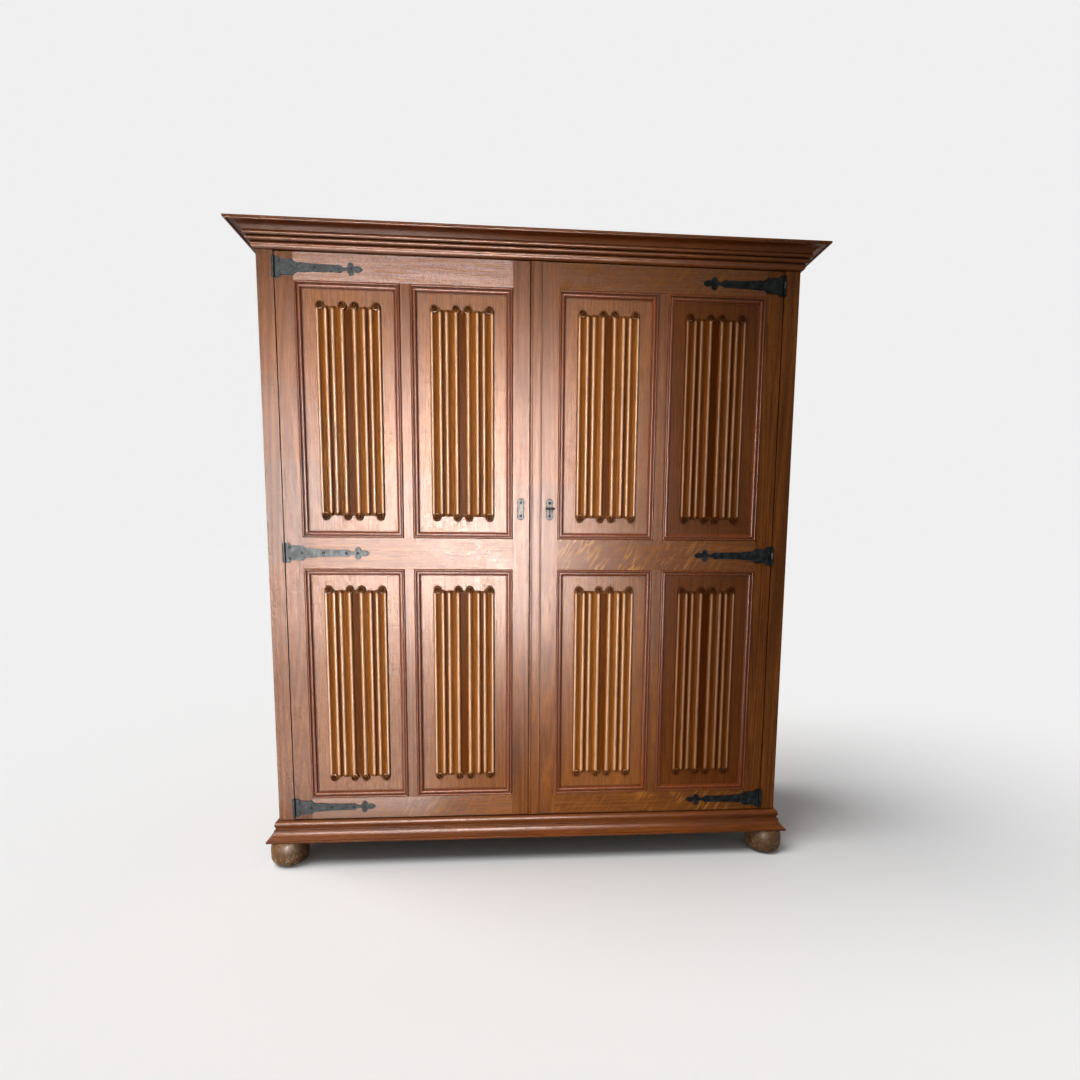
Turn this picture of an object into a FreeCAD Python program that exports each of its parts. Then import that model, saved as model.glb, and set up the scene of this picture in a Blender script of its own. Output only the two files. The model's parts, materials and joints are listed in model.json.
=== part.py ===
import FreeCAD, Part
import math
import os
import Sketcher
from FreeCAD import Placement, Rotation, Vector

# A two-door oak cupboard with linenfold panels, strap hinges, a stepped cornice and bun feet.
# X runs to the right of someone facing the doors, Y runs from the doors to the back, Z is up.
# The origin is the middle of the whole cupboard's outline on the floor.

# Every size that can be set by itself, in millimetres.
SIZES = {
    # The whole cupboard
    "carcass_width": 1600.0,
    "carcass_depth": 560.0,
    "foot_height": 78.0,
    "plinth_height": 62.0,
    "door_zone_height": 1699.0,
    "cornice_height": 61.0,
    "cornice_overhang": 62.0,
    "plinth_overhang": 32.0,
    # Posts and carcass frame
    "post_size": 60.0,
    "post_face": 47.0,
    "rear_post_depth": 75.0,
    "side_thickness": 22.0,
    "side_recess": 7.0,
    "roof_thickness": 18.0,
    "stop_gap": 0.5,
    "stop_lap": 12.0,
    "stop_depth": 20.0,
    "floor_below": 10.0,
    "back_muntin_width": 60.0,
    # Door leaves
    "door_thickness": 24.0,
    "hinge_gap": 3.0,
    "door_gap": 2.5,
    "meeting_offset": 17.5,
    "meeting_gap": 2.4,
    "stile_reach": 68.5,
    "hinge_stile_width": 52.0,
    "top_rail_height": 78.0,
    "upper_opening_height": 734.5,
    "middle_rail_height": 93.5,
    "bottom_rail_height": 69.0,
    "muntin_width": 28.0,
    "ground_recess": 9.0,
    "groove_width": 8.0,
    "groove_depth": 10.0,
    "groove_clearance": 1.0,
    # Panel mouldings, linenfold and the meeting strip
    "moulding_width": 21.5,
    "moulding_height": 10.2,
    "linen_width": 189.0,
    "linen_end_margin": 46.0,
    "linen_relief": 8.0,
    "strip_width": 34.8,
    "strip_thickness": 4.0,
    # Strap hinges and nails
    "hinge_height": 58.0,
    "hinge_top_drop": 45.0,
    "hinge_bottom_rise": 40.0,
    "strap_length": 250.0,
    "strap_thickness": 3.0,
    "knuckle_radius": 4.5,
    "knuckle_stand_off": 0.5,
    "knuckle_clearance": 0.4,
    "pin_radius": 2.6,
    "pin_clearance": 0.06,
    "leaf_thickness": 1.6,
    "leaf_depth": 21.0,
    "nail_head_radius": 4.2,
    "nail_head_height": 2.4,
    "nail_radius": 1.5,
    "nail_length": 14.0,
    "nail_clearance": 0.06,
    # Escutcheons, lock and key
    "lock_above_rail": 92.5,
    "lock_from_middle": 44.0,
    "plate_height": 66.0,
    "plate_width": 24.0,
    "plate_thickness": 1.8,
    "plate_below_key": 2.0,
    "keyhole_radius": 4.0,
    "keyhole_slot_width": 3.6,
    "keyhole_slot_drop": 14.0,
    "case_width": 78.0,
    "case_height": 90.0,
    "case_depth": 15.0,
    "case_wall": 1.5,
    "case_edge": 13.0,
    "lock_bolt_height": 12.0,
    "lock_bolt_thickness": 6.0,
    "lock_bolt_length": 50.0,
    "lock_bolt_rise": 14.5,
    "lock_bolt_throw": 16.0,
    "lock_bolt_inset": 4.0,
    "lock_bolt_clearance": 0.1,
    "keeper_wall": 4.0,
    "keeper_room": 1.0,
    "key_shank_radius": 3.2,
    "key_bow_radius": 11.8,
    "key_bow_wire": 2.4,
    "key_reach": 36.0,
    "key_tip_clearance": 0.06,
    "key_bit_length": 8.5,
    "key_bit_width": 6.0,
    "key_bit_thickness": 3.0,
    "key_bit_inset": 4.0,
    # Bolts on the left door
    "bolt_radius": 4.0,
    "bolt_length": 112.0,
    "bolt_travel": 15.0,
    "bolt_clearance": 0.06,
    "bolt_hole_clearance": 0.8,
    "bolt_end_gap": 2.0,
    "bolt_plate_width": 22.0,
    "bolt_plate_length": 108.0,
    "bolt_plate_thickness": 2.0,
    "bolt_loop_height": 10.0,
    "bolt_loop_inset": 6.0,
    "bolt_loop_wall": 3.0,
    "bolt_knob_radius": 3.0,
    "bolt_knob_length": 12.0,
    "bolt_knob_drop": 80.0,
    # Feet
    "foot_radius": 57.5,
    "foot_inset_x": 26.0,
    "foot_inset_y": 14.0,
    "foot_rear_inset": 60.0,
    "dowel_radius": 8.0,
    "dowel_length": 30.0,
    "dowel_clearance": 0.06,
    # Inside
    "partition_thickness": 18.0,
    "partition_setback": 50.0,
    "shelf_thickness": 18.0,
    "shelf_setback": 66.0,
    "shelf_play": 1.0,
    "bearer_width": 18.0,
    "bearer_height": 25.0,
    "hanging_rail_radius": 12.5,
    "hanging_rail_drop": 40.0,
    "socket_radius": 20.0,
    "socket_thickness": 8.0,
    "socket_floor": 2.0,
    "socket_clearance": 0.06,
    # How far a cutting piece passes the face that it cuts
    "overrun": 5.0,
}

doc = FreeCAD.newDocument("cupboard")
sheet = doc.addObject("Spreadsheet::Sheet", "Sizes")
for row, (name, mm) in enumerate(SIZES.items(), start=1):
    sheet.set(f"A{row}", name)
    sheet.set(f"B{row}", str(mm))
    sheet.setAlias(f"B{row}", name)
doc.recompute()


def formula_of(value):
    return value.formula if isinstance(value, Size) else repr(float(value))


def mm_of(value):
    return value.mm if isinstance(value, Size) else float(value)


class Size:
    """A length together with the formula over the sheet that gives it."""

    def __init__(self, formula, mm):
        self.formula = formula
        self.mm = mm

    def __add__(self, other):
        return Size(f"({self.formula} + {formula_of(other)})", self.mm + mm_of(other))

    def __sub__(self, other):
        return Size(f"({self.formula} - {formula_of(other)})", self.mm - mm_of(other))

    def __rsub__(self, other):
        return Size(f"({formula_of(other)} - {self.formula})", mm_of(other) - self.mm)

    def __mul__(self, share):
        return Size(f"({self.formula} * {share})", self.mm * share)

    def __truediv__(self, share):
        return Size(f"({self.formula} / {share})", self.mm / share)

    def __neg__(self):
        return Size(f"(0 - {self.formula})", -self.mm)

    __radd__ = __add__
    __rmul__ = __mul__


class Sheet:
    """Reads any named size of the sheet as a Size."""

    def __getattr__(self, name):
        return Size(f"Sizes.{name}", SIZES[name])


s = Sheet()
finished = {}


# Helpers that make and bind the document's objects

def bind(thing, setting, value):
    if isinstance(value, Size):
        thing.setExpression(setting, value.formula)
    else:
        thing.setExpression(setting, repr(float(value)))


def put(thing, x, y, z, rotation=Rotation()):
    thing.Placement = Placement(Vector(mm_of(x), mm_of(y), mm_of(z)), rotation)
    for axis, value in zip("xyz", (x, y, z)):
        bind(thing, f"Placement.Base.{axis}", value)
    return thing


def finish(label, thing):
    """Registers a sub-part under the name that its file gets."""
    thing.Label = label
    finished[label] = thing
    return thing


def block(name, x, y, z, rotation=Rotation()):
    """A box given by its lowest and highest place along each axis."""
    box = doc.addObject("Part::Box", name)
    for side, (low, high) in zip(("Length", "Width", "Height"), (x, y, z)):
        bind(box, side, high - low)
    return put(box, x[0], y[0], z[0], rotation)


AXIS_TURNS = {
    "x": Rotation(Vector(0, 1, 0), 90),
    "-y": Rotation(Vector(1, 0, 0), 90),
    "y": Rotation(Vector(1, 0, 0), -90),
    "z": Rotation(),
}


def rod(name, radius, x, y, z, length, axis):
    """A round bar that starts at a point and runs along an axis."""
    bar = doc.addObject("Part::Cylinder", name)
    bind(bar, "Radius", radius)
    bind(bar, "Height", length)
    return put(bar, x, y, z, AXIS_TURNS[axis])


def join(name, things):
    if len(things) == 1:
        return things[0]
    fused = doc.addObject("Part::MultiFuse", name)
    fused.Shapes = things
    fused.Refine = True
    return fused


def cut(name, base, tools):
    result = doc.addObject("Part::Cut", name)
    result.Base = base
    result.Tool = join(f"{name}_tool", tools)
    return result


def gather(name, things):
    group = doc.addObject("Part::Compound", name)
    group.Links = things
    return group


def mirrored(name, thing):
    """The same piece on the other side of the cupboard's middle."""
    mirror = doc.addObject("Part::Mirroring", name)
    mirror.Source = thing
    mirror.Normal = (1, 0, 0)
    mirror.Base = (0, 0, 0)
    return mirror


def arc_through(start, middle, end):
    """Centre of the circle through three points, and whether it runs counter-clockwise."""
    (ax, ay), (bx, by), (cx, cy) = start, middle, end
    turn = 2 * (ax * (by - cy) + bx * (cy - ay) + cx * (ay - by))
    a2, b2, c2 = ax * ax + ay * ay, bx * bx + by * by, cx * cx + cy * cy
    centre_x = (a2 * (by - cy) + b2 * (cy - ay) + c2 * (ay - by)) / turn
    centre_y = (a2 * (cx - bx) + b2 * (ax - cx) + c2 * (bx - ax)) / turn
    return (centre_x, centre_y), turn > 0


def tie_point(sketch, place, point):
    """Holds a point of a sketch at two sizes of the sheet."""
    for kind, value in zip(("DistanceX", "DistanceY"), place):
        number = sketch.addConstraint(Sketcher.Constraint(kind, -1, 1, *point, mm_of(value)))
        bind(sketch, f"Constraints[{number}]", value)


def outline_sketch(body, role, start, runs):
    """A closed outline on one of the body's planes: a run of two sizes is straight, of four is an arc.

    The first two sizes of an arc are a point that it passes through. Every point is tied to the sheet.
    """
    sketch = body.newObject("Sketcher::SketchObject", f"{body.Name}_outline")
    support = [feature for feature in body.Origin.OriginFeatures if feature.Role == role]
    sketch.AttachmentSupport = (support[0], [""])
    sketch.MapMode = "FlatFace"
    corners = [start] + [run[-2:] for run in runs]
    first_ends, last_ends, arcs = [], [], []
    for index, run in enumerate(runs):
        here = tuple(mm_of(size) for size in corners[index])
        there = tuple(mm_of(size) for size in corners[index + 1])
        if len(run) == 2:
            sketch.addGeometry(Part.LineSegment(Vector(*here, 0), Vector(*there, 0)), False)
            ends = (1, 2)
        else:
            centre, counter_clockwise = arc_through(here, tuple(mm_of(size) for size in run[:2]), there)
            radius = math.dist(centre, here)
            first, last = (here, there) if counter_clockwise else (there, here)
            angles = [math.atan2(point[1] - centre[1], point[0] - centre[0]) for point in (first, last)]
            circle = Part.Circle(Vector(*centre, 0), Vector(0, 0, 1), radius)
            sketch.addGeometry(Part.ArcOfCircle(circle, angles[0], angles[1]), False)
            ends = (1, 2) if counter_clockwise else (2, 1)
            arcs.append((index, run[:2]))
        first_ends.append((index, ends[0]))
        last_ends.append((index, ends[1]))
    for index, first_end in enumerate(first_ends):
        sketch.addConstraint(Sketcher.Constraint("Coincident", *last_ends[index - 1], *first_end))
    for corner, end in zip(corners, first_ends):
        tie_point(sketch, corner, end)
    for arc, middle in arcs:
        point = sketch.addGeometry(Part.Point(Vector(mm_of(middle[0]), mm_of(middle[1]), 0)), True)
        sketch.addConstraint(Sketcher.Constraint("PointOnObject", point, 1, arc))
        tie_point(sketch, middle, (point, 1))
    return sketch


def pad(body, sketch, length):
    feature = body.newObject("PartDesign::Pad", f"{body.Name}_pad")
    feature.Profile = sketch
    feature.Length = mm_of(length)
    bind(feature, "Length", length)
    return feature


def new_body(name):
    return doc.addObject("PartDesign::Body", name)


def scaled(shares, width, height):
    """Turns a table of shares into sizes: even places follow the width, odd ones the height."""
    return [tuple(share * (height if place % 2 else width) for place, share in enumerate(row))
            for row in shares]


# Levels and lines that several pieces follow

front = -(s.carcass_depth - s.cornice_overhang) / 2
back = front + s.carcass_depth
half_width = s.carcass_width / 2
zone_bottom = s.foot_height + s.plinth_height
zone_top = zone_bottom + s.door_zone_height
roof_top = zone_top + s.cornice_height
roof_bottom = roof_top - s.roof_thickness
frame_line = half_width - s.post_size
post_line = half_width - s.post_face
stop_face = front + s.door_thickness + s.stop_gap
door_back = front + s.door_thickness

lower_opening = (zone_bottom + s.bottom_rail_height,
                 zone_top - s.top_rail_height - s.upper_opening_height - s.middle_rail_height)
upper_opening = (lower_opening[1] + s.middle_rail_height, zone_top - s.top_rail_height)
door_levels = (zone_bottom + s.door_gap, zone_top - s.door_gap)

door_edge = post_line - s.hinge_gap
stile_line = door_edge - s.hinge_stile_width
column_width = (stile_line - s.stile_reach - s.muntin_width) / 2
inner_column = (s.stile_reach, s.stile_reach + column_width)
outer_column = (stile_line - column_width, stile_line)

pin_x = post_line - s.hinge_gap / 2
pin_y = front - s.knuckle_radius - s.knuckle_stand_off
hinge_levels = (zone_bottom + s.hinge_bottom_rise,
                (lower_opening[1] + upper_opening[0]) / 2,
                zone_top - s.hinge_top_drop)
lock_level = upper_opening[0] + s.lock_above_rail


def wider(span, amount):
    return span[0] - amount, span[1] + amount


def around(middle, width):
    return middle - width / 2, middle + width / 2


def flipped(span):
    return -span[1], -span[0]


# Framed joinery: rails, stiles and muntins with grooves for panels and stub tongues

DOOR_GROOVE = (front + s.ground_recess, front + s.ground_recess + s.groove_width)
SIDE_GROOVE = (-half_width + s.side_recess, -half_width + s.side_recess + s.groove_width)
BACK_GROOVE = (back - s.side_recess - s.groove_width, back - s.side_recess)


def laid(view, run, across, up):
    """Orders three spans as X, Y and Z for a frame seen from the front or from the side."""
    return (across, run, up) if view == "side" else (run, across, up)


def framed(label, view, groove, run, across, up, tongues="", grooves=()):
    """A frame member with tongues on its run ends or its up ends, and grooves along named edges."""
    tongue = s.groove_depth - s.groove_clearance
    parts = [block(f"{label}_blank", *laid(view, run, across, up))]
    if tongues == "run":
        parts.append(block(f"{label}_tongue", *laid(view, wider(run, tongue), groove, up)))
    if tongues == "up":
        parts.append(block(f"{label}_tongue", *laid(view, run, groove, wider(up, tongue))))
    long_run = wider(run, s.groove_depth + s.overrun)
    long_up = wider(up, s.groove_depth + s.overrun)
    channels = {
        "low": (long_run, (up[0] - s.overrun, up[0] + s.groove_depth)),
        "high": (long_run, (up[1] - s.groove_depth, up[1] + s.overrun)),
        "near": ((run[0] - s.overrun, run[0] + s.groove_depth), long_up),
        "far": ((run[1] - s.groove_depth, run[1] + s.overrun), long_up),
    }
    solid = join(f"{label}_joined", parts)
    tools = []
    for edge in grooves:
        channel_run, channel_up = channels[edge]
        tools.append(block(f"{label}_{edge}", *laid(view, channel_run, groove, channel_up)))
    return cut(f"{label}_grooved", solid, tools) if tools else solid


def flat_panel(label, view, groove, run, up):
    """A plain panel that floats in the grooves around its opening."""
    reach = s.groove_depth - s.groove_clearance
    return block(label, *laid(view, wider(run, reach), groove, wider(up, reach)))


# Carcass

side_run = (front + s.post_size, back - s.rear_post_depth)
side_across = (-half_width, -half_width + s.side_thickness)
side_levels = {
    "bottom": (s.foot_height, lower_opening[0]),
    "middle": (lower_opening[1], upper_opening[0]),
    "top": (upper_opening[1], roof_bottom),
}


def foot_place(end):
    """Where the middle of a foot is: the front or the rear one on the left side."""
    y = front + s.foot_inset_y if end == "front" else back - s.foot_rear_inset
    return -half_width + s.foot_inset_x, y


def dowel_hole(name, end):
    x, y = foot_place(end)
    radius = s.dowel_radius + s.dowel_clearance
    return rod(name, radius, x, y, s.foot_height - s.overrun, s.dowel_length + s.overrun, "z")


def front_post():
    """Square post, rebated as a stop for the door and grooved for the side frame."""
    up = (s.foot_height, roof_bottom)
    blank = block("front_post_blank", (-half_width, -frame_line), (front, front + s.post_size), up)
    rebate = block("front_post_rebate", (-post_line, -frame_line + s.overrun),
                   (front - s.overrun, stop_face), wider(up, s.overrun))
    groove = block("front_post_groove", SIDE_GROOVE,
                   (front + s.post_size - s.groove_depth, front + s.post_size + s.overrun),
                   wider(up, s.overrun))
    return cut("front_post", blank, [rebate, groove, dowel_hole("front_post_hole", "front")])


def rear_post():
    """A deeper post, grooved for the side frame and for the back frame."""
    up = (s.foot_height, roof_bottom)
    blank = block("rear_post_blank", (-half_width, -frame_line), (back - s.rear_post_depth, back), up)
    side = block("rear_post_side_groove", SIDE_GROOVE,
                 (back - s.rear_post_depth - s.overrun, back - s.rear_post_depth + s.groove_depth),
                 wider(up, s.overrun))
    rear = block("rear_post_back_groove", (-frame_line - s.groove_depth, -frame_line + s.overrun),
                 BACK_GROOVE, wider(up, s.overrun))
    return cut("rear_post", blank, [side, rear, dowel_hole("rear_post_hole", "rear")])


def side_frame():
    edges = {"bottom": ("high",), "middle": ("low", "high"), "top": ("low",)}
    rails = [framed(f"side_rail_{level}", "side", SIDE_GROOVE, side_run, side_across, up,
                    "run", edges[level])
             for level, up in side_levels.items()]
    panels = [flat_panel(f"side_panel_{number}", "side", SIDE_GROOVE, side_run, opening)
              for number, opening in enumerate((lower_opening, upper_opening))]
    return gather("side_rails", rails), gather("side_panels", panels)


def bolt_axis():
    """Left door bolts slide on this upright line behind the meeting stile."""
    y = door_back + s.bolt_plate_thickness + s.bolt_radius + s.bolt_clearance
    return -s.lock_from_middle, y


def bolt_hole(name, low, high):
    x, y = bolt_axis()
    return rod(name, s.bolt_radius + s.bolt_hole_clearance, x, y, low, high - low, "z")


def front_rails():
    """The rail above the doors laps behind them as a stop, and the one below closes the plinth."""
    fascia = block("fascia", (-post_line, post_line), (front, stop_face), (zone_top, roof_bottom))
    lip_up = (zone_top - s.stop_lap, roof_bottom)
    lip = block("stop_lip", (-frame_line, frame_line), (stop_face, stop_face + s.stop_depth), lip_up)
    hole = bolt_hole("top_bolt_hole", lip_up[0] - s.overrun, lip_up[0] + s.bolt_travel)
    finish("front_rail_top", cut("front_rail_top", join("front_rail_solid", [fascia, lip]), [hole]))
    low_rail = block("front_rail_bottom", (-post_line, post_line), (front, stop_face),
                     (s.foot_height, zone_bottom))
    finish("front_rail_bottom", low_rail)


def floor_and_roof():
    inner = half_width - s.side_thickness
    up = (zone_bottom - s.floor_below, zone_bottom + s.stop_lap)
    rear = back - s.side_thickness
    board = block("floor_blank", (-inner, inner), (stop_face, rear), up)
    notches = []
    for side in (-1, 1):
        span = (-inner - s.overrun, -frame_line)
        x = span if side < 0 else flipped(span)
        notches.append(block(f"floor_front_notch_{side}", x,
                             (front, front + s.post_size), wider(up, s.overrun)))
        notches.append(block(f"floor_rear_notch_{side}", x,
                             (back - s.rear_post_depth, back), wider(up, s.overrun)))
    notches.append(bolt_hole("bottom_bolt_hole", up[0] - s.overrun, up[1] + s.overrun))
    finish("bottom_board", cut("bottom_board", board, notches))
    roof = block("top_board", (-half_width, half_width), (front, back), (roof_bottom, roof_top))
    finish("top_board", roof)


def back_frame():
    across = (back - s.side_thickness, back)
    run = (-frame_line, frame_line)
    edges = {"bottom": ("high",), "top": ("low",)}
    rails = [framed(f"back_rail_{level}", "front", BACK_GROOVE, run, across, side_levels[level],
                    "run", edge)
             for level, edge in edges.items()]
    opening = (side_levels["bottom"][1], side_levels["top"][0])
    middle = around(Size("0", 0), s.back_muntin_width)
    muntin = framed("back_muntin", "front", BACK_GROOVE, middle, across, opening, "up", ("near", "far"))
    left_bay = (-frame_line, middle[0])
    panel = flat_panel("back_panel_left", "front", BACK_GROOVE, left_bay, opening)
    finish("back_rails", gather("back_rails", rails))
    finish("back_muntin", muntin)
    finish("back_panels", gather("back_panels", [panel, mirrored("back_panel_right", panel)]))


# Cornice and plinth: moulded runs, mitred at the front corners

CORNICE_SHARES = [
    (0.055, 0.0),
    (0.142, 0.069, 0.158, 0.172),
    (0.157, 0.262, 0.121, 0.306),
    (0.21, 0.306),
    (0.32, 0.405, 0.218, 0.502),
    (0.275, 0.518),
    (0.413, 0.602, 0.331, 0.692),
    (0.38, 0.702),
    (0.54, 0.86, 0.855, 0.903),
    (0.855, 0.915),
    (0.903, 0.862, 0.952, 0.915),
    (1.0, 0.915),
    (1.0, 1.0),
    (0.0, 1.0),
    (0.0, 0.0),
]
PLINTH_SHARES = [
    (1.0, 0.0),
    (1.0, 0.1),
    (0.91, 0.108),
    (0.6, 0.24, 0.42, 0.45),
    (0.42, 0.54),
    (0.27, 0.556),
    (0.27, 0.645),
    (0.37, 0.83, 0.2, 1.0),
    (0.0, 1.0),
    (0.0, 0.0),
]


def moulded_body(name, role, shares, overhang, height, length, place):
    body = new_body(name)
    outwards = [tuple(share if spot % 2 else -share for spot, share in enumerate(row)) for row in shares]
    runs = scaled(outwards, overhang, height)
    pad(body, outline_sketch(body, role, runs[-1], runs), length)
    return put(body, *place)


def mitre_block(name, overhang, height, level, turned):
    """A block whose one face is the mitre at the left front corner, on one side of it or the other."""
    reach = overhang + s.overrun
    length = (reach + s.overrun) * math.sqrt(2)
    corner_x, corner_y = -half_width, front
    shift = s.overrun if turned else -reach
    angle = 225 if turned else 45
    box = doc.addObject("Part::Box", name)
    bind(box, "Length", length)
    bind(box, "Width", length)
    bind(box, "Height", height + s.overrun * 2)
    turn = Rotation(Vector(0, 0, 1), angle)
    return put(box, corner_x + shift, corner_y + shift, level - s.overrun, turn)


def moulded_surround(label, shares, overhang, height, level):
    """Front and side runs of a moulding round the carcass, mitred where they meet."""
    saw = mitre_block(f"{label}_saw", overhang, height, level, False)
    front_run = moulded_body(f"{label}_front_run", "YZ_Plane", shares, overhang, height,
                             s.carcass_width + overhang * 2, (-half_width - overhang, front, level))
    saws = [saw, mirrored(f"{label}_saw_right", saw)]
    finish(f"{label}_front", cut(f"{label}_front", front_run, saws))
    left_run = moulded_body(f"{label}_left_run", "XZ_Plane", shares, overhang, height,
                            s.carcass_depth + overhang, (-half_width, back, level))
    side_saw = mitre_block(f"{label}_saw_side", overhang, height, level, True)
    left = cut(f"{label}_left", left_run, [side_saw])
    finish(f"{label}_left", left)
    finish(f"{label}_right", mirrored(f"{label}_right", left))


# Bun feet

FOOT_SHARES = [
    (0.42, 0.0),
    (0.7, 0.055, 0.87, 0.184),
    (0.965, 0.33, 1.0, 0.5),
    (0.864, 0.783, 0.66, 0.9),
    (0.66, 1.0),
]


def bun_foot(name, place):
    """A turned foot: flat below, swelling to its widest at half its height, with a dowel on top."""
    body = new_body(name)
    dowel_top = s.foot_height + s.dowel_length
    zero = Size("0", 0)
    runs = scaled(FOOT_SHARES, s.foot_radius, s.foot_height)
    runs += [(s.dowel_radius, s.foot_height), (s.dowel_radius, dowel_top), (zero, dowel_top), (zero, zero)]
    turning = body.newObject("PartDesign::Revolution", f"{name}_turning")
    turning.Profile = outline_sketch(body, "XZ_Plane", (zero, zero), runs)
    turning.ReferenceAxis = (turning.Profile[0], ["V_Axis"])
    turning.Angle = 360
    return put(body, place[0], place[1], 0)


def feet():
    left = [bun_foot(f"foot_{end}", foot_place(end)) for end in ("front", "rear")]
    right = [mirrored(f"{foot.Name}_right", foot) for foot in left]
    finish("bun_feet", gather("bun_feet", left + right))


# Door frames, made for the left door and mirrored for the right one

def door_frame():
    """Stiles run full height, rails fit between them and a muntin halves each opening."""
    across = (front, door_back)
    between = flipped((s.stile_reach, stile_line))
    middle_muntin = flipped((inner_column[1], outer_column[0]))
    holes = [nail_hole(f"nail_hole_{number}", place) for number, place in enumerate(nail_places())]
    members = {
        "hinge_stile": framed("hinge_stile", "front", DOOR_GROOVE, flipped((stile_line, door_edge)),
                              across, door_levels, "", ("far",)),
        "top_rail": framed("top_rail", "front", DOOR_GROOVE, between, across,
                           (upper_opening[1], door_levels[1]), "run", ("low",)),
        "middle_rail": framed("middle_rail", "front", DOOR_GROOVE, between, across,
                              (lower_opening[1], upper_opening[0]), "run", ("low", "high")),
        "bottom_rail": framed("bottom_rail", "front", DOOR_GROOVE, between, across,
                              (door_levels[0], lower_opening[0]), "run", ("high",)),
    }
    for name, member in members.items():
        drilled = cut(f"{name}_drilled", member, [gather(f"{name}_holes", holes)])
        finish(f"{name}_left", drilled)
        finish(f"{name}_right", mirrored(f"{name}_right", drilled))
    muntins = [framed(f"muntin_{number}", "front", DOOR_GROOVE, middle_muntin, across, opening,
                      "up", ("near", "far"))
               for number, opening in enumerate((lower_opening, upper_opening))]
    left_muntins = finish("muntins_left", gather("muntins_left", muntins))
    finish("muntins_right", mirrored("muntins_right", left_muntins))


def keyhole(name, depth):
    """A round hole with a slot below it, right through the right door's stile."""
    x = s.lock_from_middle
    y = front - s.overrun
    slot = (x - s.keyhole_slot_width / 2, x + s.keyhole_slot_width / 2)
    return [rod(f"{name}_round", s.keyhole_radius, x, y, lock_level, depth + s.overrun * 2, "y"),
            block(f"{name}_slot", slot, (y, front + depth + s.overrun),
                  (lock_level - s.keyhole_slot_drop, lock_level))]


def meeting_stiles():
    """The right stile is the wider one: it carries the strip that covers the middle."""
    across = (front, door_back)
    left_edge = -s.meeting_offset - s.meeting_gap / 2
    right_edge = -s.meeting_offset + s.meeting_gap / 2
    pin_holes = [nail_hole(f"plate_pin_hole_{number}", place)
                 for number, place in enumerate(plate_pin_places())]
    left = framed("meeting_stile_l", "front", DOOR_GROOVE, (-s.stile_reach, left_edge), across,
                  door_levels, "", ("near",))
    finish("meeting_stile_left", cut("meeting_stile_left", left, pin_holes))
    right = framed("meeting_stile_r", "front", DOOR_GROOVE, (right_edge, s.stile_reach), across,
                   door_levels, "", ("far",))
    tools = keyhole("stile_keyhole", s.door_thickness)
    tools += [mirrored(f"{hole.Name}_right", hole) for hole in pin_holes]
    finish("meeting_stile_right", cut("meeting_stile_right", right, tools))


STRIP_SHARES = [
    (1.0, 0.0),
    (1.0, 0.45),
    (0.985, 0.85, 0.93, 0.95),
    (0.88, 0.9, 0.85, 0.62),
    (0.21, 0.62),
    (0.17, 0.93, 0.1, 1.0),
    (0.03, 0.9, 0.0, 0.45),
    (0.0, 0.0),
]


def meeting_strip():
    """A beaded strip on the right door's edge, centred on the cupboard."""
    body = new_body("meeting_strip_body")
    rows = [tuple(-share if spot % 2 else share for spot, share in enumerate(row)) for row in STRIP_SHARES]
    runs = scaled(rows, s.strip_width, s.strip_thickness)
    pad(body, outline_sketch(body, "XY_Plane", runs[-1], runs), door_levels[1] - door_levels[0])
    finish("meeting_strip", put(body, -s.meeting_offset + s.meeting_gap / 2, front, door_levels[0]))


# Linenfold panels

# Half of the folds' section, from the middle outwards: share of the half width, share of the relief.
FOLD_SHARES = [
    (0.11, 0.2),
    (0.15, 0.9),
    (0.185, 1.0, 0.22, 0.9),
    (0.33, 0.5, 0.44, 0.86),
    (0.475, 0.97, 0.51, 0.86),
    (0.55, 0.16),
    (0.6, 0.16),
    (0.645, 0.86),
    (0.68, 0.95, 0.715, 0.84),
    (0.81, 0.46, 0.905, 0.78),
    (0.94, 0.88, 0.97, 0.74),
    (1.0, 0.0),
]


def fold_runs():
    """The whole section: the half table read outwards to the right, then back from the left."""
    half = s.linen_width / 2
    right = [tuple(share * (-s.linen_relief if place % 2 else half) for place, share in enumerate(row))
             for row in FOLD_SHARES]
    left = []
    for index in range(len(right) - 1, -1, -1):
        corner = right[index][-2:]
        arc = right[index + 1][:2] if index + 1 < len(right) and len(right[index + 1]) == 4 else ()
        left.append(tuple(value if spot % 2 else -value for spot, value in enumerate(arc + corner)))
    return right[-1], left + right


def linen_panel(name, column, opening):
    """A floating panel whose face is carved in upright folds of linen."""
    body = new_body(name)
    zero = Size("0", 0)
    reach = s.groove_depth - s.groove_clearance
    half = (column[1] - column[0]) / 2 + reach
    low, high = wider((zero, opening[1] - opening[0]), reach)
    slab = [(half, low), (half, high), (-half, high), (-half, low)]
    pad(body, outline_sketch(body, "XZ_Plane", slab[-1], slab), s.groove_width)
    start, runs = fold_runs()
    sketch = outline_sketch(body, "XY_Plane", start, runs)
    margin = s.moulding_width + s.linen_end_margin
    bind(sketch, "AttachmentOffset.Base.y", -s.groove_width)
    bind(sketch, "AttachmentOffset.Base.z", margin)
    pad(body, sketch, high - reach - margin * 2)
    middle = -(column[0] + column[1]) / 2
    return put(body, middle, DOOR_GROOVE[1], opening[0])


def linen_panels():
    for level, opening in (("upper", upper_opening), ("lower", lower_opening)):
        pair = [linen_panel(f"linen_{level}_{number}", column, opening)
                for number, column in enumerate((outer_column, inner_column))]
        left = finish(f"linenfold_{level}_left", gather(f"linenfold_{level}_left", pair))
        finish(f"linenfold_{level}_right", mirrored(f"linenfold_{level}_right", left))


# Mitred mouldings round each panel

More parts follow.
